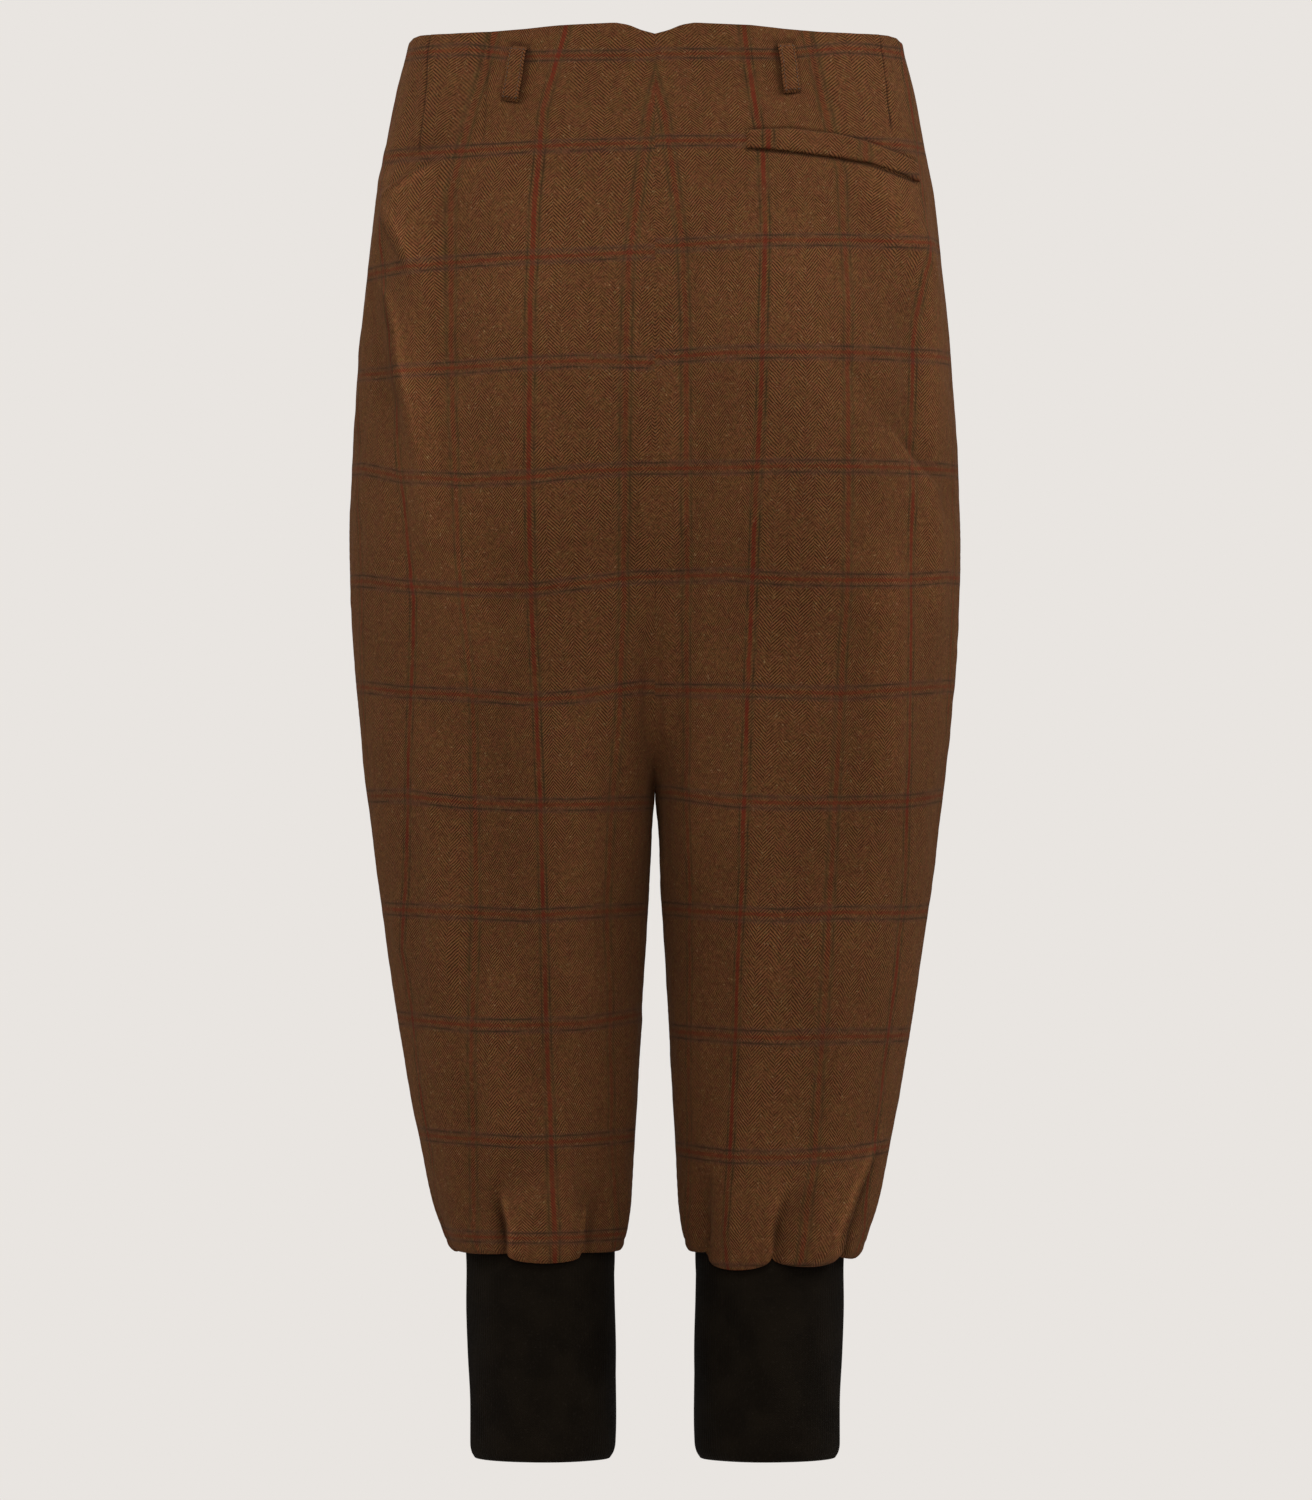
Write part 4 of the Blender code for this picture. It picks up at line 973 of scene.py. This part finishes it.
def makePanel(name):
    back = name.startswith("back")
    half = name.split("_")[1]
    legZ, rollZ, share = panelRows()
    rows = [panelRow(name, z) for z in legZ]
    angles, fromSide, fromInner = (np.array([row[k] for row in rows]) for k in range(3))
    barRuns = np.array([row[3] for row in rows])
    meeting = np.array([row[4] for row in rows])
    if not back:
        angles, fromSide, fromInner = angles[:, ::-1], fromSide[:, ::-1], fromInner[:, ::-1]
        meeting = angles.shape[1] - 1 - meeting
    rowCount, columnCount = angles.shape

    # the cloth is first a flat net of rows and columns, cut finer along darts and pocket
    i, j = np.meshgrid(np.arange(rowCount), np.arange(columnCount), indexing="ij")
    net = bpy.data.meshes.new("net")
    faces = netFaces(rowCount, columnCount, sides[half] < 0, meeting)
    flat = np.stack((j.ravel(), i.ravel(), np.zeros(i.size)), axis=-1).astype(float)
    net.from_pydata([tuple(p) for p in flat], [], faces)
    lines = [line[1:5] for line in darts if line[0] == name]
    for lap in laps:
        if lap[0] == name:
            lines += [(*a, *b) for a, b in zip(lap[4][:-1], lap[4][1:])]
    for _, panel, x0, z0, x1, z1 in loops["places"]:
        if panel == name:
            lines += [(x0 + shift, z0, x1 + shift, z1) for shift in (-0.0060, 0.0060)]
    if name == "back_right":
        edges = welt["edges"]
        for column in (1, 2):
            lines += [(*a[[0, column]], *b[[0, column]]) for a, b in zip(edges[:-1], edges[1:])]
    if lines:
        points = panelPoints(name, angles.ravel(), legZ[i.ravel()], rollZ[i.ravel()], share[i.ravel()])
        centres = np.array([points[list(face.vertices)].mean(axis=0) for face in net.polygons])
        near = np.full(len(centres), 1.0)
        for line in lines:
            across, past, _ = fromLine(np.abs(centres[:, 0]), centres[:, 2], *line)
            near = np.minimum(near, np.hypot(across, past))
        mesh = bmesh.new()
        mesh.from_mesh(net)
        mesh.faces.ensure_lookup_table()
        chosen = {edge for k in np.nonzero(near < dartShape["refine"])[0] for edge in mesh.faces[int(k)].edges}
        chosen = sorted(chosen, key=lambda edge: edge.index)
        bmesh.ops.subdivide_edges(mesh, edges=chosen, cuts=2, use_grid_fill=True)
        mesh.to_mesh(net)
        mesh.free()
    at = np.empty(len(net.vertices) * 3)
    net.vertices.foreach_get("co", at)
    atColumn, atRow = at.reshape(-1, 3)[:, 0], at.reshape(-1, 3)[:, 1]
    faces = [tuple(face.vertices) for face in net.polygons]
    bpy.data.meshes.remove(net)

    angle = atGrid(angles, atRow, atColumn)
    side, inner = atGrid(fromSide, atRow, atColumn), atGrid(fromInner, atRow, atColumn)
    z, low, rolled = alongRows(legZ, atRow), alongRows(rollZ, atRow), alongRows(share, atRow)
    bare = panelPoints(name, angle, z, low, rolled)
    x = np.abs(bare[:, 0])
    relief, shade = sewingRelief(name, x, bare[:, 2], side, inner)
    keep = 1.0 - smooth(rolled / 0.6)
    seed = ("back_left", "back_right", "front_left", "front_right").index(name) * 10
    waves = 0.00055 * ripple(side, low, 0.052, seed) + 0.00022 * ripple(side, low, 0.017, seed + 1)
    waves = waves * smooth(side / 0.02) * smooth(inner / 0.02)
    band = -hem["bandDip"] * bell(low - hem["bandFrom"], hem["bandWidth"]) * (rolled < 0.5)
    points = panelPoints(name, angle, z, low, rolled, out=(relief + waves) * keep + band)
    uv = checkPlace(name, x, bare[:, 2], side, np.stack([alongRows(barRuns[:, k], atRow) for k in range(4)], axis=-1))
    surface = BVHTree.FromPolygons([tuple(p) for p in points], faces)
    onCentre = x < 0.00001
    wallPoints, wallFaces, freeEdges = wallOf(points, faces, leg["cloth"], sides[half], onCentre)
    piece = newPiece(name + "_cloth", wallPoints, wallFaces, np.concatenate((uv, uv)), panelTweed)
    piece.data.set_sharp_from_angle(angle=math.radians(50))
    weight = piece.data.attributes.new("bevel_weight_edge", "FLOAT", "EDGE")
    weight.data.foreach_set("value", [float(frozenset(edge.vertices) in freeEdges) for edge in piece.data.edges])
    arch, _ = gatherAt(half, angle)
    # painted light of the folds and laps, and painted shade in the valleys between the hem's gathers
    tone = foldRelief(name, x, z, angle)[1]
    tone = tone - paintedLight["gather"] * (1.0 - arch) ** 3 * smooth(1.0 - (z - leg["hem"]) / paintedLight["gatherReach"])
    layer = piece.data.attributes.new("paintedFoldLight", "FLOAT", "POINT")
    layer.data.foreach_set("value", np.tile(tone, 2).astype(np.float32))
    layer = piece.data.attributes.new("seamShade", "FLOAT", "POINT")
    layer.data.foreach_set("value", np.tile(shade * keep, 2).astype(np.float32))
    area = sum(face.area for face in piece.data.polygons[:len(faces)])
    soft = piece.modifiers.new("soft edge", "BEVEL")
    soft.width = 0.0004
    soft.segments = 2
    soft.limit_method = "WEIGHT"
    declare(piece, name)
    print(name, "area", round(area, 4), "faces", len(faces))
    return piece, surface, area


panelNames = ("back_left", "back_right", "front_left", "front_right")
panels = {name: makePanel(name) for name in panelNames}
surfaces = {name: panels[name][1] for name in panelNames}
print("panels made")


# the point of the sewn surface near a place on a panel, with the direction out of the cloth
def onPanel(panel, x, z):
    zed, ex = np.full(1, z), np.full(1, x)
    back = panel.startswith("back")
    angle = angleAt(legSection(zed), ex, back)
    spot = Vector(panelPoints(panel, angle, zed, zed, np.zeros(1))[0])
    place, normal, _, _ = surfaces[panel].find_nearest(spot)
    outward = Vector((spot.x * 0.4, 1.0 if back else -1.0, 0.0))
    return place, normal if normal.dot(outward) > 0 else -normal


# a flat strip of cloth with rounded edges, carried along a list of middle points with across and up directions
def roundedStrip(name, middles, acrosses, ups, halfWidths, thickness, around, material, uvStart, flip=False):
    turns = np.linspace(0.0, math.tau, around, endpoint=False)
    flatness = 5.0
    c, s = np.cos(turns), np.sin(turns)
    ringX = np.sign(c) * np.abs(c) ** (2.0 / flatness)
    ringZ = np.sign(s) * np.abs(s) ** (2.0 / 2.4)
    points, uv = [], []
    length = 0.0
    for k, (middle, across, up, halfWidth) in enumerate(zip(middles, acrosses, ups, halfWidths)):
        end = min(k, len(middles) - 1 - k)
        shrink = (0.55, 0.85, 1.0)[min(end, 2)]
        if k:
            length += (middle - middles[k - 1]).length
        for a, b in zip(ringX, ringZ):
            offset = across * (a * halfWidth * (0.5 + 0.5 * shrink)) + up * ((b * shrink + 1.0) * thickness / 2)
            points.append(middle + offset)
            uv.append((uvStart[0] + a * halfWidth, uvStart[1] - length + 0.3 * b * thickness))
    rows = len(middles)
    faces = [tuple(f) for f in gridFaces(rows - 1, around, flip, closed=True)]
    first, last = list(range(around)), list(range((rows - 1) * around, rows * around))
    faces += [tuple(first if flip else first[::-1]), tuple(last[::-1] if flip else last)]
    piece = newPiece(name, points, faces, uv, material)
    mesh = bmesh.new()
    mesh.from_mesh(piece.data)
    bmesh.ops.recalc_face_normals(mesh, faces=mesh.faces)
    mesh.to_mesh(piece.data)
    mesh.free()
    return piece


def stitchTree():
    tree = bpy.data.node_groups.new("stitchRow", "GeometryNodeTree")
    face = tree.interface
    face.new_socket("Path", in_out="INPUT", socket_type="NodeSocketGeometry")
    for name, value in (("Pitch", 0.0028), ("Length", 0.0020), ("Thickness", 0.00045), ("Wander", 0.10)):
        face.new_socket(name, in_out="INPUT", socket_type="NodeSocketFloat").default_value = value
    face.new_socket("Seed", in_out="INPUT", socket_type="NodeSocketInt").default_value = 3
    face.new_socket("Thread", in_out="INPUT", socket_type="NodeSocketMaterial")
    face.new_socket("Stitches", in_out="OUTPUT", socket_type="NodeSocketGeometry")
    make, join = tree.nodes.new, tree.links.new
    given, result = make("NodeGroupInput"), make("NodeGroupOutput")
    curve = make("GeometryNodeMeshToCurve")
    even = make("GeometryNodeResampleCurve")
    even.mode = "LENGTH"
    join(given.outputs["Path"], curve.inputs["Mesh"])
    join(curve.outputs["Curve"], even.inputs["Curve"])
    join(given.outputs["Pitch"], even.inputs["Length"])
    ball = make("GeometryNodeMeshUVSphere")
    ball.inputs["Segments"].default_value = 8
    ball.inputs["Rings"].default_value = 5
    ball.inputs["Radius"].default_value = 0.5
    size = make("ShaderNodeCombineXYZ")
    join(given.outputs["Length"], size.inputs["X"])
    join(given.outputs["Thickness"], size.inputs["Y"])
    join(given.outputs["Thickness"], size.inputs["Z"])
    tangent = make("GeometryNodeInputTangent")
    wander = make("FunctionNodeRandomValue")
    wander.data_type = "FLOAT_VECTOR"
    wander.inputs["Min"].default_value = (-1.0, -1.0, -1.0)
    join(given.outputs["Seed"], wander.inputs["Seed"])
    little = make("ShaderNodeVectorMath")
    little.operation = "SCALE"
    join(wander.outputs["Value"], little.inputs[0])
    join(given.outputs["Wander"], little.inputs["Scale"])
    leaning = make("ShaderNodeVectorMath")
    join(tangent.outputs["Tangent"], leaning.inputs[0])
    join(little.outputs["Vector"], leaning.inputs[1])
    turn = make("FunctionNodeAlignRotationToVector")
    turn.axis = "X"
    join(leaning.outputs["Vector"], turn.inputs["Vector"])
    place = make("GeometryNodeInstanceOnPoints")
    join(even.outputs["Curve"], place.inputs["Points"])
    join(ball.outputs["Mesh"], place.inputs["Instance"])
    join(turn.outputs["Rotation"], place.inputs["Rotation"])
    join(size.outputs["Vector"], place.inputs["Scale"])
    round_ = make("GeometryNodeSetShadeSmooth")
    real = make("GeometryNodeRealizeInstances")
    dress = make("GeometryNodeSetMaterial")
    join(place.outputs["Instances"], real.inputs["Geometry"])
    join(real.outputs["Geometry"], round_.inputs["Geometry"])
    join(round_.outputs["Geometry"], dress.inputs["Geometry"])
    join(given.outputs["Thread"], dress.inputs["Material"])
    join(dress.outputs["Geometry"], result.inputs["Stitches"])
    return tree


stitchRowTree = stitchTree()


def sewStitches(name, paths, slot, thread, **sizes):
    # each path is a list of points on the cloth; all of them become one mesh of stitches
    points, edges = [], []
    for path in paths:
        start = len(points)
        points += [tuple(p) for p in path]
        edges += [(start + k, start + k + 1) for k in range(len(path) - 1)]
    mesh = bpy.data.meshes.new(name)
    mesh.from_pydata(points, edges, [])
    piece = bpy.data.objects.new(name, mesh)
    scene.collection.objects.link(piece)
    row = piece.modifiers.new("stitches", "NODES")
    row.node_group = stitchRowTree
    sockets = {item.name: item.identifier for item in stitchRowTree.interface.items_tree}
    row[sockets["Thread"]] = thread
    for key, value in sizes.items():
        row[sockets[key]] = value
    piece = frozen(piece)
    declare(piece)
    return piece


def clothPath(panel, places, lift):
    path = []
    for x, z in places:
        spot, normal = onPanel(panel, x, z)
        path.append(spot + normal * lift)
    return path


def makeWelt():
    edges = welt["edges"]
    points, uv = [], []
    xs = np.linspace(edges[0, 0], edges[-1, 0], welt["columns"] + 1)
    for i in range(welt["rows"] + 1):
        down = i / welt["rows"]
        # square across its height, with turned edges
        lip = smooth(min(down, 1.0 - down) / 0.16)
        for k, x in enumerate(xs):
            top, low = (np.interp(x, edges[:, 0], edges[:, column]) for column in (1, 2))
            z = top + (low - top) * down
            endLip = smooth(min(k, welt["columns"] - k) / 2.5)
            spot, normal = onPanel("back_right", x, z)
            points.append(spot + normal * (0.0003 + welt["rise"] * float(lip * endLip)))
            uv.append((x - 0.0095, z * 1.05 + 0.031))
    faces = gridFaces(welt["rows"], welt["columns"], False)
    piece = newPiece("back_pocket_welt_cloth", points, faces, uv, trimTweed)
    faceOut(piece, Vector((-0.4, 1.0, 0.0)))
    area = sum(face.area for face in piece.data.polygons)
    addWall(piece, 0.0006)
    declare(piece, "back_pocket_welt")
    return piece, area


# turns a sheet over when it faces the wrong way
def faceOut(piece, outward):
    total = Vector()
    for face in piece.data.polygons:
        total += face.normal * face.area
    if total.dot(outward) < 0:
        piece.data.flip_normals()


def makeLoop(name, panel, x0, z0, x1, z1):
    rows = loops["rows"]
    middles, acrosses, ups = [], [], []
    along = Vector((x1 - x0, z1 - z0)).normalized()
    for k in range(rows + 1):
        down = k / rows
        x, z = x0 + (x1 - x0) * down, z0 + (z1 - z0) * down
        spot, normal = onPanel(panel, x, z)
        left, _ = onPanel(panel, x + along.y * 0.004, z - along.x * 0.004)
        right, _ = onPanel(panel, x - along.y * 0.004, z + along.x * 0.004)
        arch = float(smooth(min(down, 1.0 - down) / loops["shoulder"]))
        middles.append(spot + normal * (0.0003 + loops["rise"] * arch))
        acrosses.append((right - left).normalized())
        ups.append(normal)
    widths = [loops["width"] / 2] * (rows + 1)
    piece = roundedStrip(name + "_cloth", middles, acrosses, ups, widths, loops["wall"], loops["around"], trimTweed,
                         (0.020, -0.006))
    declare(piece, name)
    lines = []
    for offset in (-0.36, 0.36):
        lines.append([m + a * (offset * loops["width"]) + u * (loops["wall"] + 0.00002)
                      for m, a, u in zip(middles[3:-3], acrosses[3:-3], ups[3:-3])])
    for k in (3, rows - 3):
        tack = [middles[k] + acrosses[k] * (t * loops["width"]) + ups[k] * (loops["wall"] + 0.00004)
                for t in np.linspace(-0.38, 0.38, 8)]
        lines.append(tack)
    sewStitches(name + "_stitches", lines, "tweed", brownThread, Pitch=0.0024, Length=0.0018, Thickness=0.00040)
    return piece


def makeCuff(half):
    ribs, per = cuff["ribs"], cuff["pointsPerRib"]
    around = ribs * per
    sections = cuff["sections"]
    z = np.linspace(sections[0, 0], sections[-1, 0], cuff["rows"])
    z = np.concatenate((z[:-8], np.linspace(z[-8], z[-1], 16)))
    turn = math.pi - math.tau * np.arange(around) / around
    zed, angle = np.meshgrid(z, turn, indexing="ij")
    zed, angle = zed.ravel(), angle.ravel()
    x, y, nx, ny = onSection(cuffSection(zed), angle)
    wave = np.cos(math.tau * (np.arange(around) % per) / per)
    wave = np.tile(wave, len(z))
    slack = 0.0005 * ripple(angle * 0.05, zed, 0.05, 77)
    push = cuff["ribDepth"] * (wave - 1.0) / 2 + slack * smooth((sections[0, 0] - zed) / 0.03)
    points = np.stack((sides[half] * (x + nx * push), y + ny * push, zed), axis=-1)
    perimeter = 0.312
    turns = np.tile(np.arange(around) / around, len(z))
    uv = np.stack((turns * perimeter, zed), axis=-1)
    faces = gridFaces(len(z) - 1, around, sides[half] < 0, closed=True)
    piece = newPiece("cuff_" + half + "_knit", points, faces, uv, blackKnit)
    area = sum(face.area for face in piece.data.polygons)
    addWall(piece, cuff["wall"])
    declare(piece, "cuff_" + half)
    return piece, area


def makeShield():
    rows, columns = shield["rows"], shield["columns"]
    points, uv = [], []
    for i in range(rows + 1):
        down = i / rows
        z = shield["top"] + (shield["bottom"] - shield["top"]) * down
        narrow = 1.0 - shield["taper"] * float(smooth((down - shield["taperStart"]) / (1.0 - shield["taperStart"])))
        for j in range(columns + 1):
            x = shield["halfWidth"] * narrow * (1.0 - 2.0 * j / columns)
            panel = "front_left" if x >= 0 else "front_right"
            away = np.full(1, max(abs(x), 0.0002))
            zed = np.full(1, z)
            angle = angleAt(legSection(zed), away, False)
            spot = panelPoints(panel, angle, zed, zed, np.zeros(1), out=shield["lift"])[0]
            points.append((x if abs(x) < 0.001 else spot[0], spot[1], spot[2]))
            uv.append((0.0295 + x, z))
    piece = newPiece("fly_shield_cloth", points, gridFaces(rows, columns, False), uv, trimTweed)
    faceOut(piece, Vector((0.0, -1.0, 0.0)))
    area = sum(face.area for face in piece.data.polygons)
    addWall(piece, shield["wall"])
    declare(piece, "fly_shield")
    return piece, area


def makeButton():
    base, axis = onPanel("front_left", button["x"], button["z"])
    turn = axis.to_track_quat("Z", "Y").to_matrix().to_4x4()
    place = Matrix.Translation(base + axis * button["lift"]) @ turn
    radius, thick = button["radius"], button["thickness"]
    profile = [(0.0, thick * 0.62), (radius * 0.45, thick * 0.62), (radius * 0.62, thick * 0.72),
               (radius * 0.74, thick * 0.96), (radius * 0.86, thick), (radius * 0.95, thick * 0.93),
               (radius, thick * 0.70), (radius, thick * 0.42), (radius * 0.93, thick * 0.16), (radius * 0.75, 0.0),
               (0.0, 0.0)]
    mesh = bpy.data.meshes.new("buttonProfile")
    mesh.from_pydata([(r, 0.0, h) for r, h in profile], [(k, k + 1) for k in range(len(profile) - 1)], [])
    piece = bpy.data.objects.new("waist_button_horn", mesh)
    scene.collection.objects.link(piece)
    turned = piece.modifiers.new("turned", "SCREW")
    turned.steps = turned.render_steps = 48
    turned.use_merge_vertices = True
    turned.merge_threshold = 0.00001
    cutters = []
    for k in range(4):
        spin = math.tau * (k + 0.5) / 4
        bpy.ops.mesh.primitive_cylinder_add(vertices=20, radius=button["hole"], depth=thick * 4,
                                            location=(math.cos(spin) * button["holeReach"],
                                                      math.sin(spin) * button["holeReach"], 0.0))
        cutters.append(bpy.context.object)
        hole = piece.modifiers.new("hole", "BOOLEAN")
        hole.object = cutters[-1]
    piece = frozen(piece)
    for cutter in cutters:
        bpy.data.objects.remove(cutter, do_unlink=True)
    piece.data.transform(place)
    mesh = bmesh.new()
    mesh.from_mesh(piece.data)
    bmesh.ops.recalc_face_normals(mesh, faces=mesh.faces)
    mesh.to_mesh(piece.data)
    mesh.free()
    piece.data.shade_smooth()
    piece.data.set_sharp_from_angle(angle=math.radians(40))
    piece.data.materials.clear()
    piece.data.materials.append(darkHorn)
    declare(piece, "waist_button")
    reach, top = button["holeReach"], thick * 0.62 + button["thread"] * 0.5
    paths = []
    for k in range(2):
        spin = math.tau * (k * 2 + 1) / 8
        for shift in (-0.0003, 0.0003):
            a, b = math.cos(spin), math.sin(spin)
            ends = [Vector((a * reach * t - b * shift, b * reach * t + a * shift, top)) for t in (-1, -0.33, 0.33, 1)]
            paths.append([place @ end for end in ends])
    shank = [place @ Vector((0, 0, h)) for h in (-button["lift"] - 0.0004, -0.0002, 0.0003)]
    sewStitches("waist_button_thread", paths, "tweed", brownThread, Pitch=0.0009, Length=0.0016, Thickness=0.0006,
                Wander=0.03)
    sewStitches("waist_button_shank", [shank], "tweed", brownThread, Pitch=0.0006, Length=0.0022, Thickness=0.0030,
                Wander=0.02)
    return piece


weltPiece, weltArea = makeWelt()
loopPieces = [makeLoop(*place) for place in loops["places"]]
cuffPieces = {half: makeCuff(half) for half in sides}
shieldPiece, shieldArea = makeShield()
makeButton()
print("trims, cuffs and button made")


def makeFlyStitches():
    places = [(0.034, z) for z in np.linspace(-0.006, -0.128, 40)]
    for turn in np.linspace(0.0, math.pi / 2, 16)[1:]:
        places.append((0.003 + 0.031 * math.cos(turn), -0.128 - 0.040 * math.sin(turn)))
    path = clothPath("front_left", places, 0.0001)
    sewStitches("fly_stitches", [path], "tweed", brownThread, Pitch=0.0030, Length=0.0022, Thickness=0.00045)


makeFlyStitches()


# flat width of each cut piece: the widest run of its cloth, with 2 mm to spare
def panelFlat(name):
    legZ, _, _ = panelRows()
    widths = [float(panelRow(name, z)[1][0]) for z in legZ[::12]]
    return max(widths) + 0.002


turnUnder = 0.030
for name in panelNames:
    width = panelFlat(name)

studio = {"floorZ": -1.40, "floorRadius": 2.2, "paper": (0.800, 0.775, 0.750), "distance": 6.0, "height": -0.4414,
          "frameHeight": 0.930, "centreX": -0.0006, "roomLight": 0.20}


def makeStudio():
    bpy.ops.mesh.primitive_circle_add(vertices=96, radius=studio["floorRadius"], fill_type="NGON",
                                      location=(0, 0, studio["floorZ"]))
    floor = bpy.context.object
    floor.name = "floor"
    paper = bpy.data.materials.new("palePaper")
    tree, shader = shaderOf(paper)
    where = tree.nodes.new("ShaderNodeTexCoord").outputs["Object"]
    grain = noise(tree, where, 300.0, 3.0)
    tree.links.new(mixColour(tree, grain, tuple(c * 0.985 for c in studio["paper"]), studio["paper"]),
                   shader.inputs["Base Color"])
    shader.inputs["Roughness"].default_value = 0.9
    floor.data.materials.append(paper)

    world = bpy.data.worlds.new("softRoom")
    scene.world = world
    world.use_nodes = True
    room = world.node_tree
    backdrop = room.nodes["Background"]
    backdrop.inputs["Color"].default_value = (0.8148, 0.7835, 0.7529, 1.0)
    dimmer = room.nodes.new("ShaderNodeBackground")
    dimmer.inputs["Color"].default_value = (0.8148, 0.7835, 0.7529, 1.0)
    dimmer.inputs["Strength"].default_value = studio["roomLight"]
    seen = room.nodes.new("ShaderNodeLightPath")
    either = room.nodes.new("ShaderNodeMixShader")
    room.links.new(seen.outputs["Is Camera Ray"], either.inputs[0])
    room.links.new(dimmer.outputs[0], either.inputs[1])
    room.links.new(backdrop.outputs[0], either.inputs[2])
    room.links.new(either.outputs[0], room.nodes["World Output"].inputs["Surface"])
    # name, place, width, height, power
    lights = [
        ("softboxLeft", (1.9, 0.3, 1.0), 0.9, 1.4, 20.5),
        ("softboxRight", (-1.9, 0.3, 1.0), 0.9, 1.4, 27.5),
        ("softboxTop", (0.0, 1.5, 0.8), 1.0, 0.6, 13.0),
        ("frontLight", (0.0, 5.0, 1.1), 1.0, 1.0, 58.0),
        ("fill", (0.0, -3.0, 0.8), 2.2, 2.2, 32.0),
    ]
    target = Vector((0.0, 0.0, -0.36))
    for name, place, width, height, power in lights:
        light = bpy.data.lights.new(name, "AREA")
        light.shape = "RECTANGLE"
        light.size, light.size_y = width, height
        light.energy = power
        lamp = bpy.data.objects.new(name, light)
        lamp.location = place
        lamp.rotation_euler = (target - Vector(place)).to_track_quat("-Z", "Y").to_euler()
        scene.collection.objects.link(lamp)

    lens = bpy.data.cameras.new("camera")
    lens.sensor_width = 36.0
    lens.lens = lens.sensor_width * studio["distance"] / studio["frameHeight"]
    lens.clip_end = 60.0
    camera = bpy.data.objects.new("camera", lens)
    camera.location = (studio["centreX"], studio["distance"], studio["height"])
    camera.rotation_euler = (math.radians(90), 0.0, math.radians(180))
    scene.collection.objects.link(camera)
    scene.camera = camera
    scene.view_settings.view_transform = "Standard"


makeStudio()
print("studio made")
